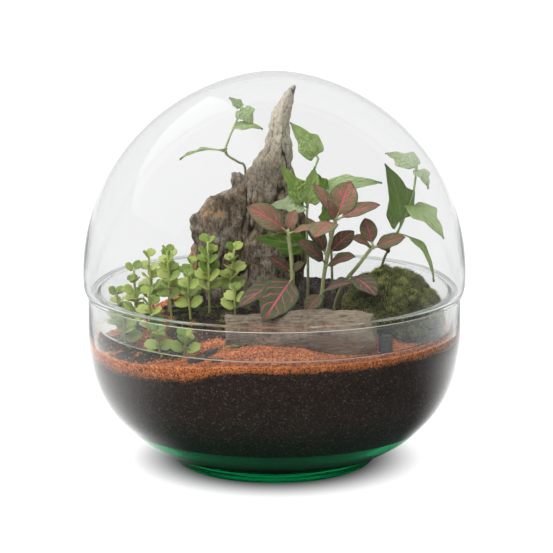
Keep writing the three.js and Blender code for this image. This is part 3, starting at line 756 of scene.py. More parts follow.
def glass_finish(name, ior, clear, base, absorption):
    """Clear glass that turns green towards a thick base, and lets the lamps' light through."""
    finish = Finish(name)
    colour = clear
    if base:
        height = finish.parts(finish.place)[2]
        green = (height + (finish.noise(0.05, 2.0) - 0.5) * 0.008).rise(*GREEN_FADE)
        colour = finish.mix(green, clear, base)
    body = finish.surface(Base_Color=colour, Roughness=0.0, IOR=ior, Transmission_Weight=1.0)
    lamp = finish.add("ShaderNodeLightPath", {}, {}, "Is Shadow Ray")
    film = finish.add("ShaderNodeBsdfTransparent", {}, {"Color": LAMP_TINT})
    tint = {"Color": ABSORBED_TO, "Density": absorption}
    volume = finish.add("ShaderNodeVolumeAbsorption", {}, tint)
    return finish.done(finish.blend(lamp, body, film), Volume=volume)


def ground_rim_and_highlight_finish():
    """The rims are ground, so they scatter light where the walls let it through; their whiteness is partly
    painted highlight lines.
    """
    finish = Finish("ground rim")
    return finish.done(finish.surface(
        Base_Color=(0.92, 0.94, 0.93), Roughness=0.3, Transmission_Weight=1 - RIM_WHITE_AND_PAINTED_HIGHLIGHT))


class TERRARIUM_OT_glass(bpy.types.Operator):
    """Turns the bowl and the dome, with round rims and a green base."""

    bl_idname = "terrarium.glass"
    bl_label = "Glass"

    def execute(self, context):
        settings = context.scene.terrarium_glass
        wall = settings.wall / MM
        clear, base, blown = tuple(settings.clear), tuple(settings.base), tuple(settings.blown)
        bowl_glass = glass_finish("green glass", BOWL_IOR, clear, base, BOWL_ABSORPTION)
        dome_glass = glass_finish("clear glass", DOME_IOR, blown, None, DOME_ABSORPTION)
        # Ground rims, partly real frosting and partly painted highlight lines
        rim = ground_rim_and_highlight_finish()
        bowl = turned(self.bowl_profile(wall, settings.ripple / MM), settings.segments)
        self.grind(bowl, BOWL_RIM_Z - BOWL_GROUND, BOWL_RIM_Z)
        finish_piece("bowl_glass", bowl, "green_glass", ["bowl"], bowl_glass, rim)
        dome = turned(self.dome_profile(wall), settings.segments)
        self.grind(dome, COLLAR_EDGE_Z, COLLAR_EDGE_Z + COLLAR_GROUND)
        finish_piece("dome_glass", dome, "clear_glass", ["dome"], dome_glass, rim)
        return {"FINISHED"}

    def grind(self, bm, low, high):
        """Gives the faces between two heights the ground rim's material."""
        for face in bm.faces:
            if all(low - CLOSE <= vert.co.z <= high + CLOSE for vert in face.verts):
                face.material_index = 1

    def bowl_profile(self, wall, ripple):
        outer = []
        for r, z in through(BOWL_OUTER, 6):
            rings = math.sin(TURN * z / RIPPLE_STEP) * smooth(z / 3) * (1 - smooth((z - 14) / 10))
            outer.append((r + ripple * rings, z))
        inner = [(r, z) for z, r in INNER_CURVE]
        middle = (BOWL_OUTER[-1][0] + BOWL_INNER[-1][0]) / 2
        lip = wall / 2 - RIM_ROUND
        rim = arc((middle + lip, BOWL_RIM_Z - RIM_ROUND), RIM_ROUND, 0, 90, 5)
        rim += arc((middle - lip, BOWL_RIM_Z - RIM_ROUND), RIM_ROUND, 90, 180, 5)
        foot = [(0, FOOT_HOLLOW), (30, FOOT_HOLLOW), (FOOT_INNER_RADIUS - 6, FOOT_HOLLOW)]
        foot += [(FOOT_INNER_RADIUS - 2.5, 1.6), (FOOT_INNER_RADIUS - 0.6, 0.4), (FOOT_INNER_RADIUS + 1.2, 0)]
        floor = [(30, BOWL_INNER[0][1] - 0.4), (0, BOWL_INNER[0][1] - 0.6)]
        return foot + outer + rim + inner[::-1] + floor

    def dome_profile(self, wall):
        rise = DOME_TOP_Z - DOME_WIDEST_Z
        scale = (DOME_RADIUS - wall) / DOME_RADIUS
        shares = [math.sin(math.pi / 2 * i / 40) for i in range(1, 40)]
        curve = [(share, DOME_RADIUS * (1 - share ** DOME_HEIGHT_POWER) ** (1 / DOME_RADIUS_POWER))
                 for share in shares]
        outer = [(r, DOME_WIDEST_Z + rise * share) for share, r in curve]
        inner = []
        for share, r in curve:
            thin = (wall - DOME_TOP_WALL) * smooth(share * 3)
            inner.append((r * scale + thin * r / DOME_RADIUS, DOME_WIDEST_Z + (rise - wall + thin) * share))
        seat = BOWL_RIM_Z + GAP
        collar_inner = COLLAR_RADIUS - wall
        edge = arc((COLLAR_RADIUS - wall / 2, COLLAR_EDGE_Z + wall / 2), wall / 2, 180, 360, 10)
        shoulder = [
            (COLLAR_RADIUS, seat - 0.8), (COLLAR_RADIUS + 0.7, seat), (DOME_SHOULDER_RADIUS - 0.8, seat),
            (DOME_SHOULDER_RADIUS - 0.2, seat + 0.2), (DOME_SHOULDER_RADIUS, seat + 0.7),
            (DOME_SHOULDER_RADIUS + 1.3, seat + 4), (DOME_RADIUS - 0.3, DOME_WIDEST_Z - 7),
            (DOME_RADIUS, DOME_WIDEST_Z),
        ]
        ledge = seat + LEDGE
        neck = [
            (DOME_RADIUS - wall, DOME_WIDEST_Z), (DOME_RADIUS - wall - 0.4, DOME_WIDEST_Z - 6),
            (DOME_RADIUS - wall - 1, ledge + 2.4), (DOME_RADIUS - wall - 1.6, ledge + 0.9),
            (DOME_RADIUS - wall - 2.8, ledge + 0.2), (DOME_RADIUS - wall - 4, ledge),
            (collar_inner + 1.4, ledge), (collar_inner + 0.5, ledge - 0.3), (collar_inner, ledge - 1.1),
        ]
        top = [(0, DOME_TOP_Z), (0, DOME_TOP_Z - DOME_TOP_WALL)]
        closed = edge + shoulder + outer + [top[0]]
        inside = [top[1]] + inner[::-1] + neck + [edge[0]]
        return inside[:-1] + closed


# Ground

def ground_point(share, angle, level):
    """A point of the ground at a share of its reach, moved out to the glass at the edge."""
    x, y = math.cos(angle), math.sin(angle)
    radius = share * GROUND_REACH
    height = level(x * radius, y * radius)
    if share > EDGE_SHARE:
        radius = glass_radius(height) + PRESSED
        height = level(x * radius, y * radius)
    return Vector((x * radius, y * radius, height))


def sand_floor(x, y):
    """Height of the sand's underside, uneven as it was poured."""
    poured = 1.6 * wavy((x, y, 0), 16, 3) + 0.7 * wavy((x, y, 0), 5, 8)
    dip = 3.2 * max(0, 1 - abs(x + 62) / 17) * smooth((-y - 90) / 30)
    return ground(x, y) - sand_depth(x) - dip + poured * 0.8


def bare_soil(x, y):
    """1 where the sand is hidden under soil and moss among the plants, 0 on clean sand."""
    edge = -97 + 9 * wavy((x, y, 4), 22, 5) + 4 * wavy((x, y, 1), 7, 2)
    edge += 10 * smooth((x - 60) / 30)
    loose = 16 * wavy((x, y, 6), 20, 8) + 6 * wavy((x, y, 2), 7, 3)
    back = smooth((y - 12 - loose) / 9) * (1 - smooth((x + 30 + loose) / 16))
    behind_moss = smooth((math.hypot(x, y) - 104 - loose) / 9) * smooth((x - 50 - loose) / 12)
    front = smooth((y - edge) / 5) * (1 - back)
    patch = smooth((wavy((x, y, 9), 16, 11) - 0.16) * 6) if x < -35 else 0
    right = smooth((x - 84 - loose) / 12)
    return front * (1 - patch) * (1 - max(right, behind_moss))


def soil_finish(colour):
    """Dark crumbs with a few pale specks."""
    finish = Finish("potting soil")
    chance = finish.chance(0.0008)
    shades = finish.vary(finish.noise(0.02), colour, 0.75, 1.5)
    grains = finish.mix(chance.rise(0.0, 0.9), finish.shade(shades, 0.4), finish.shade(shades, 1.7))
    specks = finish.mix(chance.rise(0.92, 0.96), grains, (0.12, 0.1, 0.08))
    fibres = finish.noise(0.0015, 3.0, vector=finish.stretched((1, 1, 0.35)))
    normal = finish.bump(fibres * 0.6 - finish.cells(0.0008), 0.0005, 0.9)
    return finish.plain(specks, 0.92, normal)


def sand_finish(colour, soil):
    """Crushed terracotta grit; an attribute says where soil and moss cover it."""
    finish = Finish("terracotta sand")
    covered, buried, _ = finish.trait()
    chance = finish.chance(0.001)
    deep = finish.noise(0.006, 3.0)
    grit = finish.mix(chance, [c * f for c, f in zip(colour, (0.4, 0.3, 0.3))],
                      [c * f for c, f in zip(colour, (1.45, 1.9, 2.2))])
    grit = finish.mix(chance.rise(0.86, 0.9), grit, (0.24, 0.06, 0.03))
    grit = finish.mix(deep.rise(0.62, 0.35) * 0.35, grit, (0.3, 0.06, 0.02))
    grit = finish.shade(grit, 0.55, buried.rise(0.0, 0.9) * 0.5)
    grit = finish.mix((buried + (chance - 0.5) * 1.0).rise(0.75, 1.1), grit, (0.05, 0.026, 0.018))
    dark = finish.vary(finish.chance(0.0013), soil, 0.6, 2.2)
    speckle = (covered + (chance - 0.5) * 0.7).rise(0.4, 0.6)
    both = finish.mix(speckle, grit, dark)
    normal = finish.bump(finish.noise(0.002) * 0.4 - finish.cells(0.0009), 0.0006, 1.0)
    return finish.plain(both, 0.85, normal)


def slate_finish(colour):
    """Riven layers with a little red dust."""
    finish = Finish("slate")
    layers = finish.noise(0.003, 5.0, vector=finish.stretched((1, 1, 0.3)))
    shade = finish.vary(layers, colour, 0.5, 1.9)
    dust = finish.mix(finish.noise(0.0018, 4.0).rise(0.66, 0.74) * 0.5, shade, (0.14, 0.06, 0.03))
    normal = finish.bump(layers, 0.0006, 0.8)
    return finish.plain(dust, 0.5, normal)


def strewn(angle, share):
    """Where a grain falls."""
    return math.cos(angle) * share * GROUND_REACH, math.sin(angle) * share * GROUND_REACH


def grain_template(sides, flat):
    bm = bmesh.new()
    bmesh.ops.create_cone(bm, segments=sides, radius1=0.55, radius2=0.4, depth=flat, cap_ends=True)
    bmesh.ops.rotate(bm, matrix=Matrix.Rotation(0.5, 3, "X"), verts=bm.verts[:])
    return as_mesh(bm)


class TERRARIUM_OT_ground(bpy.types.Operator):
    """Fills the bowl with soil, a layer of sand with loose grains, and slate chips."""

    bl_idname = "terrarium.ground"
    bl_label = "Soil, sand and slate"

    def execute(self, context):
        settings = context.scene.terrarium_ground
        soil_colour, sand_colour = tuple(settings.soil), tuple(settings.sand)
        soil_look = soil_finish(soil_colour)
        sand_look = sand_finish(sand_colour, soil_colour)
        finish_piece("soil_fill", self.soil(settings), "soil", ["soil"], soil_look)
        finish_piece("sand_layer", self.sand(settings), "sand", ["sand"], sand_look)
        slate = slate_finish(tuple(settings.slate))
        for chip in CHIPS:
            piece = self.chip(*chip[1:])
            finish_piece(chip[0] + "_chip", piece, "slate", [chip[0]], slate, sharp=CHIP_SHARP)
        return {"FINISHED"}

    def soil(self, settings):
        wall = []
        for z, r in INNER_CURVE:
            damp = smooth((z - PRESSED_Z) / 6)
            if z < SOIL_SIDE_TOP:
                wall.append((r - GAP + (GAP + PRESSED) * damp, z + GAP * (1 - damp)))
        wall += [(GROUND_REACH, SIDE_RINGS_Z + i) for i in range(1, SIDE_RINGS)]
        shares = [1 - i / 70 for i in range(70)]
        profile = [(0, wall[0][1]), (30, wall[0][1]), *wall]
        profile += [(share * GROUND_REACH, PLATEAU) for share in shares] + [(0, PLATEAU)]
        bm = turned(profile, settings.segments)
        for vert in bm.verts:
            x, y, z = vert.co
            if z < SIDE_RINGS_Z:
                continue
            if z < PLATEAU - 1:
                top = sand_floor(x, y) - GAP
                height = SOIL_SIDE_TOP + (top - SOIL_SIDE_TOP) * (z - SIDE_RINGS_Z) / SIDE_RINGS
                vert.co = Vector((x, y, 0)).normalized() * (glass_radius(height) + PRESSED)
                vert.co.z = height
                continue
            share = math.hypot(x, y) / GROUND_REACH

            def level(x, y, share=share):
                if share > SAND_SHARE:
                    return sand_floor(x, y) - GAP
                rough = 1.1 * wavy((x, y, 0), 9, 1) + 0.8 * wavy((x, y, 0), 3.2, 6)
                return ground(x, y) + rough * smooth((SAND_SHARE - share) / 0.05)
            vert.co = ground_point(share, math.atan2(y, x), level)
        crumb = grain_template(5, 0.8)
        spots = random.Random(CRUMB_SEED)
        for _ in range(settings.crumbs):
            x, y = strewn(spots.random() * TURN, math.sqrt(spots.random()) * CRUMB_SHARE)
            self.drop(bm, crumb, x, y, 0.7 + 1.7 * spots.random() ** 2, spots)
        return bm

    def sand(self, settings):
        inner = SAND_SHARE + GAP / GROUND_REACH
        shares = [inner + (1 - inner) * i / 34 for i in range(35)]
        above = [(share * GROUND_REACH, PLATEAU) for share in shares[::-1]]
        wall = [(GROUND_REACH, PLATEAU + (CELLAR - PLATEAU) * i / 6) for i in range(1, 6)]
        below = [(share * GROUND_REACH, CELLAR) for share in shares]
        bm = turned(above + below + wall[::-1], settings.segments, closed=True)
        traits = new_traits(bm)
        for vert in bm.verts:
            x, y, z = vert.co
            share, angle = math.hypot(x, y) / GROUND_REACH, math.atan2(y, x)
            depth = (PLATEAU - z) / (PLATEAU - CELLAR)

            def level(x, y, share=share, depth=depth):
                rough = 0.9 * wavy((x, y, 0), 6, 4) + 0.5 * wavy((x, y, 0), 2.4, 9)
                loose = min(1, (share - inner) / 0.04, (1 - share) / 0.03 + 0.4)
                top = ground(x, y) + rough * max(loose, 0)
                return top + (sand_floor(x, y) - top) * depth
            vert.co = ground_point(share, angle, level)
            top = 1 if depth < CLOSE and share < EDGE_SHARE else 0
            vert[traits] = (bare_soil(vert.co.x, vert.co.y) * top, depth, 0)
        grain = grain_template(4, 0.7)
        spots = random.Random(GRAIN_SEED)
        for _ in range(settings.grains):
            angle = spots.random() * TURN
            if spots.random() < GRAINS_IN_FRONT:
                angle = math.radians(-90 + spots.uniform(-FRONT_HALF_ANGLE, FRONT_HALF_ANGLE))
            x, y = strewn(angle, math.sqrt(spots.uniform(SAND_SHARE ** 2, GRAIN_SHARE ** 2)))
            if bare_soil(x, y) < 0.75 or spots.random() < 0.1:
                self.drop(bm, grain, x, y, 0.9 + 0.7 * spots.random(), spots)
        return bm

    def drop(self, bm, template, x, y, size, spots):
        """Lays one grain on the ground."""
        tilt = Vector((spots.uniform(-1, 1), spots.uniform(-1, 1), 1)).normalized()
        scale = (size, size * spots.uniform(0.6, 1), size * spots.uniform(0.6, 1))
        place = Matrix.Translation((x, y, ground(x, y) + 0.25 * size))
        add_copy(bm, template, place @ facing(tilt, spots.random() * TURN, scale))

    def chip(self, x, y, length, width, height, turn):
        bm = bmesh.new()
        face = bm.faces.new([bm.verts.new((u, v, 0)) for u, v in CHIP_CORNERS])
        grown = bmesh.ops.extrude_face_region(bm, geom=[face])
        top = {item for item in grown["geom"] if isinstance(item, bmesh.types.BMVert)}
        for vert in bm.verts:
            u, v, _ = vert.co
            inset = 0.82 if vert in top else 1
            rise = height - CHIP_SUNK + u * 0.8 if vert in top else -CHIP_SUNK
            vert.co = (u * length / 2 * inset, v * width / 2 * inset, rise)
        bmesh.ops.recalc_face_normals(bm, faces=bm.faces[:])
        bmesh.ops.bevel(
            bm, geom=bm.edges[:], offset=0.5, affect="EDGES", segments=2, profile=0.5, material=-1)
        bmesh.ops.triangulate(bm, faces=bm.faces[:])
        bmesh.ops.subdivide_edges(bm, edges=bm.edges[:], cuts=3, use_grid_fill=True)
        for vert in bm.verts:
            step = math.floor((vert.co.z + 0.5 * wavy(vert.co, 4, x)) / 1.1) * 0.28
            vert.co += vert.co.xy.to_3d().normalized() * (step % 0.5 + 0.6 * wavy(vert.co, 3, y))
            vert.co.z += 0.4 * wavy(vert.co, 2.2, x)
        bmesh.ops.rotate(bm, matrix=Matrix.Rotation(math.radians(turn), 3, "Z"), verts=bm.verts[:])
        bmesh.ops.translate(bm, vec=(x, y, ground(x, y)), verts=bm.verts[:])
        return bm


# Wood

def wood_finish(name, bark, worn, broken, wear, along_grain, turn):
    """Weathered wood with painted shade in its cracks: the mesh carries how deep in a crack each point is,
    and where the bark is gone.
    """
    finish = Finish(name)
    crack, bare, _ = finish.trait()
    grain = finish.stretched(along_grain, turn)
    streaks = finish.noise(0.0026, 6.0, 0.65, grain, 0.8)
    stains = finish.noise(0.011, 6.0, 0.72)
    fibres = finish.noise(0.0007, 3.0, 0.6, grain)
    short, shorter = ([1 + (c - 1) * share for c in along_grain] for share in (0.2, 0.15))
    flakes = finish.noise(0.0035, 4.0, 0.7, finish.stretched(short, turn))
    specks = finish.noise(0.0016, 5.0, 0.75, finish.stretched(shorter, turn))
    colour = finish.vary(streaks.rise(0.3, 0.65), bark, 0.6, 1.7)
    tan = finish.noise(0.03, 4.0)
    colour = finish.mix(tan.rise(0.5, 0.65) * 0.5, colour, [c * f for c, f in zip(bark, (2.0, 1.7, 1.35))])
    colour = finish.shade(colour, 0.45, flakes.rise(0.5, 0.6) * (0.65 * wear))
    colour = finish.shade(colour, 0.38, stains.rise(0.5, 0.6) * (0.8 * wear))
    colour = finish.mix(stains.rise(0.5, 0.36) * (0.8 * wear), colour, worn)
    height = finish.parts(finish.place)[2]
    # Painted reflection, partly real weathering: above 0.21 m the wood is lightened to a pale worn grey, for
    # the light the dome mirrors over the spire's top
    colour = finish.mix(height.rise(0.21, 0.26) * 0.85, colour, [c * 1.8 for c in worn])
    colour = finish.shade(colour, 0.3, specks.rise(0.5, 0.62) * 0.8)
    colour = finish.shade(colour, 1.8, specks.rise(0.46, 0.3) * 0.5)
    torn = (bare + (streaks - 0.5) * 2.6 + (specks - 0.5) * 3.0).rise(0.66, 0.9)
    colour = finish.mix(torn, colour, finish.vary(fibres, broken, 1, 1.9))
    # Painted shade: the deeper in a crack, the nearer black the wood
    colour = finish.mix(crack.rise(0.3, 0.9), colour, (0.022, 0.017, 0.012))
    height = streaks * 0.5 + fibres * 0.2 + flakes * 0.4 + specks * 0.5
    normal = finish.bump(height, 0.0011, 0.9)
    return finish.plain(colour, 0.88, normal)


def carve(bm, axis, depth, cracked, bare_rule, jag):
    """Cracks the skin along the grain, and writes the depth and the bare patches on each point."""
    traits = new_traits(bm)
    bm.normal_update()
    moves = []
    for vert in bm.verts:
        place, normal = vert.co, vert.normal
        drawn = place - axis * place.dot(axis) * 0.8
        ridge = 1 - abs(wavy(drawn, 7, 2)) * 6
        fine = 1 - abs(wavy(drawn, 2.6, 7)) * 4.5
        across = place + axis * place.dot(axis) * 1.5
        check = 1 - abs(wavy(across, 13, 12)) * 14
        crack = max(0, ridge) * smooth(0.6 + 2.5 * wavy(place, 24, 5))
        crack = max(crack, 0.5 * max(0, fine) * smooth(0.4 + 2 * wavy(place, 11, 8)))
        crack = max(crack, 0.7 * max(0, check) * smooth(2.4 * wavy(place, 18, 15)))
        swell = 1.2 * wavy(drawn, 13, 4) + 0.8 * wavy(place, 7, 9) + 0.5 * wavy(drawn, 2.4, 3)
        swell += jag * wavy(place, 5, 6) * abs(normal.x)
        swell *= 1 - smooth((place.z - 262) / 25) * 0.8
        moves.append((swell - depth * crack, crack, bare_rule(place)))
    for vert, (move, crack, bare) in zip(bm.verts, moves):
        vert.co += vert.normal * move
        vert[traits] = (min(crack, 1) * cracked, bare, 0)


class TERRARIUM_OT_wood(bpy.types.Operator):
    """Carves the standing slab with its broken shoulder, and the log."""

    bl_idname = "terrarium.wood"
    bl_label = "Standing wood and log"

    def execute(self, context):
        settings = context.scene.terrarium_wood
        voxel, depth = settings.voxel / MM, settings.cracks / MM
        bark, broken = tuple(settings.bark), tuple(settings.broken)

        slab = bmesh.new()
        for rows in (SPIRE, SHOULDER):
            part = self.slab([tuple(row) for row in through(rows, 8)])
            slab.from_mesh(part)
        skin = remeshed(slab, voxel)
        carve(skin, Vector((0.08, 0, 1)).normalized(), depth, 1, self.torn_bark, 1.4)
        look = wood_finish("weathered bark", bark, WORN_WOOD_AND_PAINTED_TOP, broken, 1, (1, 1, 6), (0, 0, 0))
        finish_piece("driftwood", skin, "weathered_wood", ["standing_wood"], look)

        run = (LOG_RIGHT - LOG_LEFT).normalized()
        skin = remeshed(self.trunk(), voxel)
        carve(skin, run, depth * 0.4, 0.6, self.torn_end, 0.9)
        turn = (0, 0, math.atan2(run.y, run.x))
        log_colour = tuple(c * 0.95 for c in bark)
        look = wood_finish("log bark", log_colour, WORN_LOG, BROKEN_LOG, 0.4, (6, 1, 1), turn)
        finish_piece("log_bark", skin, "weathered_wood", ["log"], look)
        return {"FINISHED"}

    def column(self, sides, rows):
        """An upright unit column with evenly spaced rings."""
        bm = bmesh.new()
        bmesh.ops.create_cone(bm, segments=sides, radius1=1, radius2=1, depth=1, cap_ends=True)
        upright = [e for e in bm.edges if abs(e.verts[0].co.z - e.verts[1].co.z) > 0.5]
        bmesh.ops.subdivide_edges(bm, edges=upright, cuts=rows - 2, use_grid_fill=True)
        return bm

    def slab(self, rows):
        bm = self.column(40, len(rows))
        for vert in bm.verts:
            x, y, z = vert.co
            height, left, right, thickness = rows[round((z + 0.5) * (len(rows) - 1))]
            angle = math.atan2(y, x)
            groove = 1 + 0.1 * math.sin(5 * angle + height / 17) * abs(math.sin(angle))
            along = (left + right) / 2 + x * (right - left) / 2
            vert.co = (along, WOOD_MIDDLE_Y + y * thickness * groove / 2, height)
        return as_mesh(bm)

    def trunk(self):
        rows = 90
        bm = self.column(48, rows)
        for vert in bm.verts:
            x, y, z = vert.co
            share, angle = z + 0.5, math.atan2(x, y)
            bumps = 1 + 0.05 * math.sin(3 * angle + share * 9) + 0.03 * math.sin(5 * angle - share * 17)
            plain = LOG_LEFT_RADIUS + (LOG_RIGHT_RADIUS - LOG_LEFT_RADIUS) * smooth(share * 1.6)
            worn = (1 - LOG_WORN_END) * smooth((share - 0.84) / 0.17) ** 2
            radius = plain * bumps * (1 - worn)
            end = 2 * math.sin(2 * angle) if share > 0.99 else 0
            vert.co = LOG_LEFT.lerp(LOG_RIGHT, share) + Vector((end, y * radius, x * radius))
        return bm

    def torn_bark(self, place):
        """Where the bark has come off the shoulder's broken top and its left edge."""
        band = smooth(1.2 - abs(place.z - 192 - wavy(place, 9, 3)) / 4.5)
        band *= smooth(1.5 - abs(place.x + 47) / 12)
        edge = smooth((-60 - place.x) / 3) * smooth((168 - place.z) / 10)
        return max(band * 0.85, edge)

    def torn_end(self, place):
        return smooth((place.x - 5) / 60)


# Moss

def moss_finish(tip, depth):
    """Painted shade between the tufts and at their feet, partly the darker old growth, fresh at their tips,
    with duller patches.
    """
    finish = Finish("moss")
    height, shade, _ = finish.trait()
    patch = finish.noise(0.012, 4.0)
    # Painted shade: low on each tuft and on the mound's skin the colour goes near black
    colour = finish.mix(height.rise(0.3, 1.0), depth, finish.vary(shade, tip, 0.3, 1.5))
    colour = finish.shade(colour, 0.4, patch.rise(0.46, 0.62) * 0.55)
    normal = finish.bump(finish.noise(0.0015, 4.0), 0.0008, 0.8)
    return finish.plain(colour, 0.9, normal)


def tuft_template(leaflets, length, spread, shade):
    """A star of thin upright leaflets, with its height and its shade in the attribute."""
    star = bmesh.new()
    new_traits(star)
    for i in range(leaflets):
        spike = bmesh.new()
        mark = new_traits(spike)
        bmesh.ops.create_cone(spike, segments=3, radius1=0.5, radius2=0, depth=length, cap_ends=False)
        for vert in spike.verts:
            vert[mark] = (1 if vert.co.z > 0 else -0.2, shade, 0)
        bmesh.ops.translate(spike, vec=(0, 0, length / 2), verts=spike.verts[:])
        lean = Matrix.Rotation(TURN * i / leaflets, 3, "Z") @ Matrix.Rotation(spread if i else 0.05, 3, "X")
        bmesh.ops.rotate(spike, matrix=lean, verts=spike.verts[:])
        star.from_mesh(as_mesh(spike))
    return as_mesh(star)


class TERRARIUM_OT_moss(bpy.types.Operator):
    """Grows the moss mound, and low moss among the sprigs."""

    bl_idname = "terrarium.moss"
    bl_label = "Moss"

    def execute(self, context):
        settings = context.scene.terrarium_moss
        look = moss_finish(tuple(settings.tip), tuple(settings.depth))
        mound = self.mound()
        mound.faces.ensure_lookup_table()
        faces = [face for face in mound.faces if face.calc_center_median().z > self.foot(face) + 2]
        areas = [face.calc_area() for face in faces]
        chosen = random.Random(MOSS_SEED)
        spots = [(face.calc_center_median(), face.normal.copy())
                 for face in chosen.choices(faces, areas, k=settings.tufts)]
        tufts = [tuft_template(TUFT_LEAFLETS, TUFT_LENGTH, TUFT_SPREAD, shade) for shade in TUFT_SHADES]
        for place, normal in spots:
            jitter = Vector((chosen.uniform(-1, 1), chosen.uniform(-1, 1), chosen.uniform(-1, 1)))
            lean = (normal * 1.4 + Vector((0, 0, 0.5)) + jitter * 0.35).normalized()
            size = chosen.uniform(0.6, 1.2)
            spot = Matrix.Translation(place + jitter * 0.7 - normal * 0.8)
            turn = facing(lean, chosen.random() * TURN, (size, size, size))
            add_copy(mound, chosen.choice(tufts), spot @ turn)
        finish_piece("moss_cushion", mound, "moss", ["moss_mound"], look)

        carpet = bmesh.new()
        new_traits(carpet)
        for _ in range(settings.strays):
            x, y = chosen.uniform(-122, -18), chosen.uniform(-104, -14)
            grown = wavy((x, y, 0), 15, 21) > 0.0
            if math.hypot(x, y) > 128 or not grown:
                continue
            size = chosen.uniform(0.35, 0.8)
            spot = Matrix.Translation((x, y, ground(x, y) - 0.4))
            tilt = Vector((chosen.uniform(-0.4, 0.4), chosen.uniform(-0.4, 0.4), 1)).normalized()
            turn = facing(tilt, chosen.random() * TURN, (size, size, size))
            add_copy(carpet, chosen.choice(tufts), spot @ turn)
        finish_piece("ground_moss", carpet, "moss", [], look)
        return {"FINISHED"}

    def foot(self, face):
        middle = face.calc_center_median()
        return ground(middle.x, middle.y)

    def cell(self, face):
        """A number for the row and the column of the sphere that a face is in."""
        middle = face.calc_center_median().normalized()
        row = math.floor(math.acos(middle.z) / math.pi * MOSS_ROWS)
        return row * MOSS_COLUMNS + math.floor(math.atan2(middle.y, middle.x) / TURN * MOSS_COLUMNS)

    def mound(self):
        bm = bmesh.new()
        bmesh.ops.create_uvsphere(bm, u_segments=MOSS_COLUMNS, v_segments=MOSS_ROWS, radius=1)
        # The operator gives the faces in another order each time, and the tufts are drawn in their order
        bm.faces.sort(key=self.cell)
        traits = new_traits(bm)
        for vert in bm.verts:
            place = vert.co.copy()
            angle = math.atan2(place.y, place.x)
            tufts = 1 + 0.035 * math.sin(8 * angle + 5 * place.z) + 0.03 * math.sin(5 * angle - 9 * place.z)
            spot = place * tufts
            spot = Vector((spot.x * MOSS_REACH.x, spot.y * MOSS_REACH.y, spot.z * MOSS_REACH.z)) + MOSS_CENTRE
            spot += place * (1.6 * wavy(spot, 9, 2) + 1.5 * wavy(spot, 4.5, 5) - 1.9)
            spot.z = max(spot.z, ground(spot.x, spot.y) + GAP)
            vert.co = spot
            # The mound's skin takes the near black of the painted shade between the tufts
            vert[traits] = (0.1 + 0.15 * wavy(spot, 5, 7), 0.3, 0)
        bm.normal_update()
        return bm


# Leaves and stems

def blade_frame(leaf):
    """A leaf's base, its length, its direction, and which way its upper side faces."""
    base, tip, _, face = leaf[:4]
    reach = Vector(tip) - Vector(base)
    forward = reach.normalized()
    normal = Vector(face)
    return Vector(base), reach.length, forward, (normal - forward * normal.dot(forward)).normalized()


def leaf_mesh(leaf, outline, cells, arch, start, look, tint, wave):
    """One blade on a grid bent along its midrib; the UV runs from base to tip and from edge to edge."""
    base, length, forward, normal = blade_frame(leaf)
    side = forward.cross(normal)
    table = through(outline, 8)
    bm = bmesh.new()
    bm.loops.layers.uv.new("blade")
    bmesh.ops.create_grid(bm, x_segments=cells[0], y_segments=cells[1], size=0.5, calc_uvs=True)
    for vert in bm.verts:
        share = start + (1 - start) * (vert.co.x + 0.5)
        edge = vert.co.y * 2
        _, half, sweep = between(table, share)
        reach = edge * half * leaf[2]
        lift = 4 * arch * length * share * (1 - share) + abs(reach) * LEAF_FOLD
        lift += wave * math.sin(TURN * (2.3 * share + tint)) * edge * abs(edge) * half * 2
        lift -= 0.35 * wave * (1 - abs(2 * abs(edge) - 1)) * math.sin(TURN * 5 * (share - 0.25 * abs(edge)))
        ahead = length * (share + sweep * edge * edge)
        vert.co = base + forward * ahead + side * reach + normal * lift
    upper = len(bm.verts)
    bmesh.ops.recalc_face_normals(bm, faces=bm.faces[:])
    middle = sum((f.normal for f in bm.faces), Vector())
    if middle.dot(normal) < 0:
        bmesh.ops.reverse_faces(bm, faces=bm.faces[:])
    bmesh.ops.solidify(bm, geom=bm.faces[:], thickness=LEAF_THICKNESS)
    mark = new_traits(bm)
    for i, vert in enumerate(bm.verts):
        vert[mark] = (look, 0 if i < upper else 1, tint)
    return as_mesh(bm)


def stalk_mesh(leaf, arch, shares, radii, sides):
    """A stalk along the first shares of a leaf's midrib."""
    base, length, forward, normal = blade_frame(leaf)
    points = [base + length * (forward * s + normal * 4 * arch * s * (1 - s)) - normal * 0.2 for s in shares]
    return tube(points, radii, sides)


def rooted(x, y, *rest):
    """A stem's path that starts in the soil."""
    z = ground(x, y)
    return [Vector((x, y, z - ROOT_DEPTH)), Vector((x, y, z - 2)), Vector((x, y, z + 3)), *map(Vector, rest)]


def add_stem(bm, path, radius, knots, taper=0.8):
    """A stem that thickens a little where leaves leave it."""
    points = through(path, 8)
    radii = []
    for i, point in enumerate(points):
        swell = max((1 - (point - Vector(knot)).length / 3.5 for knot in knots), default=0)
        radii.append(radius * (1 - (1 - taper) * i / len(points) + 0.22 * max(swell, 0)))
    bm.from_mesh(tube(points, radii))
    return points


def plant_bmesh():
    bm = bmesh.new()
    new_traits(bm)
    bm.loops.layers.uv.new("blade")
    return bm


def leaf_surface(finish, colour, roughness, normal, glow, share):
    """A thin leaf that lets a share of the light through, in its own tint."""
    body = finish.surface(Base_Color=colour, Roughness=roughness, Normal=normal, Specular_IOR_Level=0.4)
    through_light = finish.add("ShaderNodeBsdfTranslucent", {}, {"Color": (*glow, 1)})
    return finish.done(finish.blend(share, body, through_light))


def blade_axes(finish):
    """Along the leaf from base to tip, and how far out from the midrib."""
    uv = finish.add("ShaderNodeUVMap", {"uv_map": "blade"}, {})
    share, across, _ = finish.parts(uv)
    return share, abs(across - 0.5) * 2, across


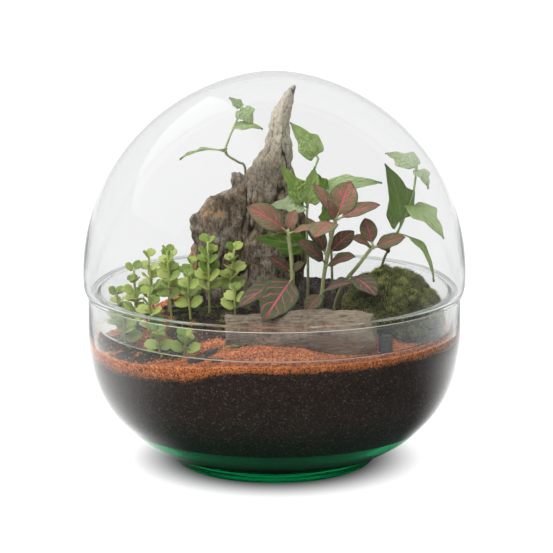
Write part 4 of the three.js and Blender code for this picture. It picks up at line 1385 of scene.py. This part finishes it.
def vein_net(finish, x, y, tint):
    """How far each point is from the net of fine veins, which is another one on each leaf."""
    at = finish.vector(x, y, tint * 30)
    return finish.cells(1.0, feature="DISTANCE_TO_EDGE", vector=at)


def side_veins(finish, share, out, count, sweep, width, wander):
    """Pairs of veins that leave the midrib and bend forward; 1 on a vein."""
    drift = (finish.noise(0.006, 2.0) - 0.5) * wander
    phase = (share * count - out * sweep * count + drift).fraction()
    return abs(phase - 0.5).rise(width, width * 0.35)


def pink_leaf_finish(pink, dark):
    """Dark green under a net of pink veins, which are bolder on the upper leaves."""
    finish = Finish("pink-veined leaf")
    bold, under, tint = finish.trait()
    share, out, across = blade_axes(finish)
    middle = out.rise(0.1, 0.03)
    ribs = side_veins(finish, share, out, 5.5, 0.3, 0.1, 0.8)
    warp = (finish.noise(0.004, 2.0) - 0.5) * 0.25
    net_cells = vein_net(finish, share * 11 - out * 4 + warp * 5, across * 6.5 + warp * 5, tint)
    width = (1 - out) * (bold * 0.03) + bold * 0.03
    net = (net_cells - width).rise(0.02, -0.015)
    wide = finish.noise(0.003, 2.0)
    margin = (out + (wide - 0.5) * 0.2).rise(0.92, 0.8)
    veins = middle.largest(ribs * 0.95).largest(net) * margin
    green = finish.vary(wide, dark, 0.7, 1.5)
    green = finish.mix(tint.rise(0.5, 1.0) * 0.3 + bold, green, (0.2, 0.29, 0.12))
    rose = finish.shade(finish.vary(wide, pink, 0.85, 1.3), 1.35, bold)
    colour = finish.mix(veins * 0.94, green, rose)
    yellow = finish.mix(ribs, (0.62, 0.52, 0.04), (0.5, 0.09, 0.03))
    colour = finish.mix(bold.rise(-0.2, -0.8), colour, yellow)
    colour = finish.mix(under * 0.6, colour, (0.17, 0.2, 0.1))
    height = (middle + ribs).least(1.0) * -1.0 + net_cells.rise(0.0, 0.35) * 0.8
    normal = finish.bump(height, 0.0005, 0.8)
    return leaf_surface(finish, colour, 0.36, normal, (0.42, 0.24, 0.12), 0.26)


def ivy_finish(green):
    """Deep, fresh or pale green with pale veins and a painted sheen; the palest leaves are partly painted
    reflection.
    """
    finish = Finish("ivy leaf")
    pale, under, tint = finish.trait()
    share, out, across = blade_axes(finish)
    middle = out.rise(0.1, 0.03)
    ribs = side_veins(finish, share, out, 3.6, 0.34, 0.09, 0.3)
    net_cells = vein_net(finish, share * 9, across * 7, tint)
    veins = middle.largest(ribs * 0.8).largest(net_cells.rise(0.07, 0.0) * 0.45)
    patches = finish.noise(0.006, 4.0)
    sheen = finish.noise(0.009, 3.0, vector=finish.vector(share * 0.02, out * 0.012, tint))
    deep = finish.mix(patches, (0.035, 0.1, 0.006), (0.1, 0.2, 0.014))
    # Pale leaves go whitish, partly their own colour and partly painted reflection of the glass over them
    whitish = finish.mix(patches, (0.5, 0.62, 0.36), (0.8, 0.88, 0.65))
    colour = finish.mix(pale.rise(0.0, 0.5), deep, finish.vary(patches, green, 0.6, 1.4))
    colour = finish.mix(pale.rise(0.45, 1.0), colour, whitish)
    # Painted highlight: a whitish sheen streaked over the paler leaves
    colour = finish.mix(sheen.rise(0.5, 0.75) * pale * 0.7, colour, (0.66, 0.78, 0.5))
    colour = finish.mix(veins * (pale * 0.5 + 0.25), colour, (0.75, 0.85, 0.5))
    colour = finish.mix(under * 0.5, colour, (0.3, 0.42, 0.2))
    height = net_cells.rise(0.0, 0.3) - veins * 0.8 + sheen * 2
    normal = finish.bump(height, 0.0008, 0.8)
    return leaf_surface(finish, colour, 0.3, normal, (0.55, 0.72, 0.26), 0.4)


def sprig_finish(green):
    """Light green, paler on some leaves and darker on others."""
    finish = Finish("round leaf")
    _, under, tint = finish.trait()
    share, out, _ = blade_axes(finish)
    middle = out.rise(0.09, 0.03) * share.rise(0.9, 0.6)
    ribs = side_veins(finish, share, out, 3.0, 0.35, 0.07, 0.2)
    mottle = finish.noise(0.003, 3.0)
    colour = finish.vary(mottle, green, 0.8, 1.25)
    colour = finish.mix(tint.rise(0.3, 1.0) * 0.9, colour, (0.17, 0.28, 0.06))
    colour = finish.mix(tint.rise(0.3, 0.0) * 0.6, colour, (0.7, 0.75, 0.33))
    colour = finish.mix(middle.largest(ribs * 0.5) * 0.45, colour, (0.55, 0.62, 0.3))
    colour = finish.mix(under * 0.45, colour, (0.45, 0.55, 0.25))
    normal = finish.bump(mottle - middle * 0.5, 0.0004, 0.6)
    return leaf_surface(finish, colour, 0.42, normal, (0.55, 0.7, 0.16), 0.3)


def stem_finish(name, young, old):
    """Green stems, darker and browner near the root."""
    finish = Finish(name)
    height = finish.parts(finish.place)[2]
    streaks = finish.noise(0.003, 4.0, vector=finish.stretched((1, 1, 5)))
    colour = finish.mix((height + (streaks - 0.5) * 0.05).rise(0.175, 0.125), young, old)
    colour = finish.shade(colour, 0.6, streaks.rise(0.55, 0.7) * 0.4)
    return finish.plain(colour, 0.55, finish.bump(streaks, 0.0004, 0.5))


class TERRARIUM_OT_pink_veined(bpy.types.Operator):
    """Grows the three pink-veined plants, with hairs on their stems."""

    bl_idname = "terrarium.pink_veined"
    bl_label = "Pink-veined plants"

    def execute(self, context):
        settings = context.scene.terrarium_leaves
        leaf_look = pink_leaf_finish(tuple(settings.pink), tuple(settings.dark))
        stem_look = stem_finish("hairy stem", (0.5, 0.52, 0.26), (0.32, 0.36, 0.14))
        chance = random.Random(PINK_SEED)
        hair = self.hair_template()
        for name, root, path, leaves in PINK_VEINED:
            bm = plant_bmesh()
            points = add_stem(bm, rooted(*root, *path), PINK_STEM_RADIUS, [leaf[0] for leaf in leaves])
            for _ in range(settings.hairs):
                self.add_hair(bm, hair, points, chance)
            for number, leaf in enumerate(leaves):
                upper = smooth((leaf[0][2] - 172) / 12)
                bold = 0.1 + 0.9 * upper * chance.uniform(0.6, 1)
                if (name, number) == YELLOW_LEAF:
                    bold = -1
                bm.from_mesh(leaf_mesh(leaf, OVAL, PINK_CELLS, LEAF_ARCH, 0.06, bold, chance.random(), 0.5))
                bm.from_mesh(stalk_mesh(leaf, LEAF_ARCH, (0, 0.06, 0.12, 0.18), (0.95, 0.85, 0.75, 0.3), 2))
            finish_piece(name + "_plant", bm, "pink_veined_leaf", [name], leaf_look, stem_look)
        return {"FINISHED"}

    def hair_template(self):
        hair = bmesh.new()
        bmesh.ops.create_cone(hair, segments=3, radius1=0.07, radius2=0, depth=1.3, cap_ends=False)
        bmesh.ops.translate(hair, vec=(0, 0, 0.6), verts=hair.verts[:])
        for face in hair.faces:
            face.material_index = 1
        return as_mesh(hair)

    def add_hair(self, bm, hair, points, chance):
        """Stands one hair on the upper three quarters of a stem."""
        spot = chance.randrange(len(points) // 4, len(points) - 1)
        at = points[spot].lerp(points[spot + 1], chance.random())
        run = (points[spot + 1] - points[spot]).normalized()
        out = run.orthogonal().normalized()
        out.rotate(Matrix.Rotation(chance.random() * TURN, 3, run))
        place = Matrix.Translation(at + out * PINK_STEM_RADIUS * 0.75)
        add_copy(bm, hair, place @ facing(out, 0, (1, 1, chance.uniform(0.6, 1.2))))


class TERRARIUM_OT_ivy(bpy.types.Operator):
    """Grows the four ivy vines."""

    bl_idname = "terrarium.ivy"
    bl_label = "Ivy"

    def execute(self, context):
        settings = context.scene.terrarium_leaves
        leaf_look = ivy_finish(tuple(settings.ivy))
        stem_look = stem_finish("ivy stem", (0.42, 0.5, 0.22), (0.24, 0.25, 0.13))
        chance = random.Random(IVY_SEED)
        for name, root, path, leaves in IVY:
            bm = plant_bmesh()
            add_stem(bm, rooted(*root, *path), IVY_STEM_RADIUS, [leaf[0] for leaf in leaves], 0.6)
            for leaf, pale in zip(leaves, IVY_TONES_AND_PAINTED_REFLECTION[name]):
                outline, arch = leaf[4:] or (LOBED, LEAF_ARCH)
                bm.from_mesh(leaf_mesh(leaf, outline, IVY_CELLS, arch, 0.07, pale, chance.random(), 0.9))
                bm.from_mesh(stalk_mesh(leaf, arch, (0, 0.05, 0.1, 0.16), (0.75, 0.65, 0.55, 0.25), 2))
            finish_piece(name + "_vine", bm, "ivy_leaf", [name], leaf_look, stem_look)
        return {"FINISHED"}


class Draws:
    """The same random draws as the part's source makes."""

    def __init__(self, seed):
        self.state = seed

    def next(self):
        self.state = (self.state * 1664525 + 1013904223) % 2 ** 32
        return self.state / 2 ** 32


class TERRARIUM_OT_sprigs(bpy.types.Operator):
    """Grows the creeping sprigs with pairs of round leaves."""

    bl_idname = "terrarium.sprigs"
    bl_label = "Creeping sprigs"

    def execute(self, context):
        settings = context.scene.terrarium_leaves
        leaf_look = sprig_finish(tuple(settings.sprig))
        stem_look = stem_finish("sprig stem", (0.62, 0.7, 0.25), (0.42, 0.4, 0.14))
        chance = random.Random(SPRIG_SEED)
        for number, (row, leaves) in enumerate(zip(SPRIGS, self.leaves()), 1):
            x, y, top_x, top_y, height, _ = row
            top = Vector((top_x, top_y, ground(x, y) + height))
            bm = plant_bmesh()
            path = rooted(x, y, top.lerp((x, y, ground(x, y)), 0.5), top)
            add_stem(bm, path, SPRIG_STEM_RADIUS, [leaf["from"] for leaf in leaves])
            for leaf in leaves:
                base, reach, face = leaf["from"], leaf["to"] - leaf["from"], leaf["face"]
                self.blade(bm, base, reach, leaf["width"], face, chance.random())
                if chance.random() < 0.5:
                    continue
                reach.rotate(Matrix.Rotation(chance.uniform(1.1, 1.9), 3, "Z"))
                reach *= chance.uniform(*YOUNG_LEAF)
                self.blade(bm, base + Vector((0, 0, 1.2)), reach, reach.length * 0.9, face, chance.random())
            name = f"sprig_{number:02d}"
            finish_piece(name + "_shoot", bm, "sprig_leaf", [name], leaf_look, stem_look)
        return {"FINISHED"}

    def blade(self, bm, base, reach, width, face, tint):
        """A round leaf on its short stalk."""
        leaf = (base, base + reach, width, face)
        bm.from_mesh(leaf_mesh(leaf, ROUND, SPRIG_CELLS, SPRIG_ARCH, 0.1, 0, tint, 0.3))
        bm.from_mesh(stalk_mesh(leaf, SPRIG_ARCH, (0, 0.1, 0.2), (0.5, 0.45, 0.3), 1))

    def leaves(self):
        """Every sprig's leaves, each turned until it is clear of the others, as in the part's source."""
        draws = Draws(SPRIG_DRAWS)
        stems = []
        for x, y, top_x, top_y, height, _ in SPRIGS:
            z = ground(x, y)
            stems.append((Vector((x, y, z)), Vector((top_x, top_y, z + height))))
        leaves = [[] for _ in stems]
        for own, (*_, pairs) in enumerate(SPRIGS):
            start = draws.next() * math.pi
            for pair in range(pairs + 1):
                share = 0.985 if pair == pairs else 0.34 + 0.6 * pair / pairs
                at = stems[own][0].lerp(stems[own][1], share)
                length = SPRIG_LEAF * (1 - 0.4 * share * share) * (0.9 + 0.2 * draws.next())
                for half in range(2):
                    azimuth = start + pair * math.pi / 2 + half * math.pi + 0.4 * (draws.next() - 0.5)
                    rise = 0.25 + 0.45 * share + 0.3 * (draws.next() - 0.5)
                    others = [leaf for i, row in enumerate(leaves) if i != own for leaf in row]
                    for turn in (0, 0.35, -0.35, 0.7, -0.7):
                        leaf = self.round_leaf(at, azimuth + turn, rise, length)
                        if self.fits(leaf, others, stems, own):
                            leaves[own].append(leaf)
                            break
        return leaves

    def round_leaf(self, at, azimuth, rise, length):
        level = math.cos(rise)
        forward = Vector((math.cos(azimuth) * level, math.sin(azimuth) * level, math.sin(rise)))
        light = Vector((0, -LEAN_TO_LIGHT, 1))
        face = (light - forward * light.dot(forward)).normalized()
        return {
            "from": at, "to": at + forward * length, "face": face, "width": length * 0.92,
            "centre": at + forward * length * 0.6, "radius": length * 0.5,
        }

    def fits(self, leaf, others, stems, own):
        """Whether a leaf is clear of the glass, the ground, the wood, the other leaves and the stems."""
        centre, radius, face = leaf["centre"], leaf["radius"], leaf["face"]
        low = centre.z - radius
        reach = math.hypot(centre.x, centre.y) + radius
        if reach > (HIGH_REACH if low > COLLAR_TOP else LOW_REACH):
            return False
        if centre.z - radius * 0.6 < ground(centre.x, centre.y) + 1:
            return False
        if -72 < centre.x < 30 and centre.y + radius > SLAB_FRONT:
            return False
        if low < LOG_TOP and centre.y - radius < LOG_BACK and centre.x + radius > -38:
            return False
        for other in others:
            apart = centre - other["centre"]
            tilt = math.sqrt(max(0, 1 - face.dot(other["face"]) ** 2))
            if (apart.length <= radius + other["radius"]
                    and abs(apart.dot(face)) <= other["radius"] * tilt + BLADE_GAP
                    and abs(apart.dot(other["face"])) <= radius * tilt + BLADE_GAP):
                return False
        for i, (foot, top) in enumerate(stems):
            if i == own:
                continue
            for step in range(13):
                apart = foot.lerp(top, step / 12) - centre
                if apart.length < radius + STEM_GAP and abs(apart.dot(face)) < STEM_CLEAR:
                    return False
        return True


# Stage

class TERRARIUM_OT_stage(bpy.types.Operator):
    """Sets the floor, the room, the softboxes, the ceiling's light and the camera."""

    bl_idname = "terrarium.stage"
    bl_label = "Stage"

    def execute(self, context):
        settings = context.scene.terrarium_stage
        context.scene.view_settings.view_transform = "Standard"
        for level, name in enumerate(("lit floor", "floor behind glass", "mirrored floor")):
            self.floor(name, level, settings)
        context.scene.world = self.room(settings)
        panel = self.softbox("overhead panel", PANEL_PLACE, PANEL_SIZE, settings.panel)
        panel.rotation_euler = (0, 0, PANEL_TURN)
        panel.visible_diffuse = False
        fill = self.softbox("front fill", FILL_PLACE, FILL_SIZE, settings.fill)
        fill.rotation_euler = (FILL_AIM - FILL_PLACE).to_track_quat("-Z", "Y").to_euler()
        ceiling = self.ceiling(settings.sky)
        for lamp in (fill, ceiling):
            lamp.visible_glossy = False
            lamp.visible_transmission = False
        camera = bpy.data.cameras.new("photo camera")
        camera.lens = CAMERA_LENS
        viewer = in_scene("photo camera", camera)
        back = Vector((0, -math.cos(CAMERA_ELEVATION), math.sin(CAMERA_ELEVATION)))
        viewer.location = CAMERA_AIM + back * CAMERA_DISTANCE
        viewer.rotation_euler = (math.pi / 2 - CAMERA_ELEVATION, 0, 0)
        context.scene.camera = viewer
        return {"FINISHED"}

    def floor(self, name, level, settings):
        """The floor as the camera sees it, through the glass or mirrored in it, with a painted shadow round
        the foot.
        """
        lit, mirrored = name == "lit floor", name == "mirrored floor"
        bm = bmesh.new()
        bmesh.ops.create_grid(bm, x_segments=2, y_segments=2, size=6)
        floor = in_scene(name, as_mesh(bm, name))
        finish = Finish(name)
        x, y, _ = finish.parts(finish.place)
        away = (x * x + y * y) ** 0.5
        glow = (settings.floor,) * 3
        if mirrored:
            glow = self.mirrored_glow(finish, x, y, away, glow, settings)
        # Painted shadow: the glow fades to black round the terrarium's foot
        glow = finish.mix(away.rise(*FLOOR_PAINTED_SHADOW), (0, 0, 0), glow)
        floor.data.materials.append(finish.done(finish.surface(
            Base_Color=FLOOR_COLOUR if lit else (0, 0, 0), Roughness=0.8, Emission_Color=glow,
            Emission_Strength=1.0)))
        floor.location.z = -FLOOR_STEP * level
        floor.visible_camera = floor.visible_diffuse = floor.visible_shadow = lit
        floor.visible_glossy = mirrored
        floor.visible_transmission = name == "floor behind glass"

    def mirrored_glow(self, finish, x, y, away, white, settings):
        """Painted light for the glass to mirror: white behind the terrarium, brighter close beside it, and
        dim on the camera's side.
        """
        dim, near, far = (
            [c * share for c in white] for share in (settings.front, settings.sides, settings.far))
        along = y * away ** -1.0
        beside = finish.mix(away.rise(*BESIDE), near, far)
        bright = finish.mix(along.rise(*BEHIND), beside, white)
        return finish.mix((along + x * LEAN * away ** -1.0).rise(*AROUND), dim, bright)

    def room(self, settings):
        """A room that is white behind the terrarium and dim behind the camera."""
        finish = Finish("studio", bpy.data.worlds.new("studio"), "Generated")
        x, y, _ = finish.parts(finish.place)
        light = (x * LEAN + y).rise(*AROUND) * (settings.behind - settings.front) + settings.front
        shine = finish.add("ShaderNodeBackground", {}, {"Color": (1, 1, 1, 1), "Strength": light})
        return finish.done(shine, "ShaderNodeOutputWorld")

    def softbox(self, name, place, size, brightness):
        """A flat lamp of this radiance, facing down."""
        lamp = bpy.data.lights.new(name, "AREA")
        lamp.shape = "RECTANGLE"
        lamp.size, lamp.size_y = size
        lamp.energy = brightness * size[0] * size[1] * math.pi
        holder = in_scene(name, lamp)
        holder.location = place
        return holder

    def ceiling(self, strength):
        """Broad even light from above."""
        lamp = bpy.data.lights.new("ceiling", "SUN")
        lamp.energy = strength
        lamp.angle = CEILING_BREADTH
        holder = in_scene("ceiling", lamp)
        holder.rotation_euler = (CEILING_TILT, -CEILING_TILT, 0)
        return holder


class TERRARIUM_PT_sidebar(bpy.types.Panel):
    """Lists the terrarium's pieces and their settings."""

    bl_idname = "TERRARIUM_PT_sidebar"
    bl_label = "Terrarium"
    bl_space_type = "VIEW_3D"
    bl_region_type = "UI"
    bl_category = "Terrarium"

    def draw(self, context):
        for step in STEPS:
            self.layout.operator(step.bl_idname)
        for key, group in SETTINGS.items():
            box = self.layout.box()
            for name in group.__annotations__:
                box.prop(getattr(context.scene, key), name)


STEPS = [
    TERRARIUM_OT_stage, TERRARIUM_OT_glass, TERRARIUM_OT_ground, TERRARIUM_OT_wood, TERRARIUM_OT_moss,
    TERRARIUM_OT_pink_veined, TERRARIUM_OT_ivy, TERRARIUM_OT_sprigs,
]


def register():
    for group in (*SETTINGS.values(), *STEPS, TERRARIUM_PT_sidebar):
        bpy.utils.register_class(group)
    for key, group in SETTINGS.items():
        setattr(bpy.types.Scene, key, bpy.props.PointerProperty(type=group))


def unregister():
    for key in SETTINGS:
        delattr(bpy.types.Scene, key)
    for group in (TERRARIUM_PT_sidebar, *reversed(STEPS), *SETTINGS.values()):
        bpy.utils.unregister_class(group)


def main():
    register()
    bpy.ops.terrarium.stage()
    bpy.ops.terrarium.glass()
    bpy.ops.terrarium.ground()
    bpy.ops.terrarium.wood()
    bpy.ops.terrarium.moss()
    bpy.ops.terrarium.pink_veined()
    bpy.ops.terrarium.ivy()
    bpy.ops.terrarium.sprigs()


if __name__ == "__main__":
    main()
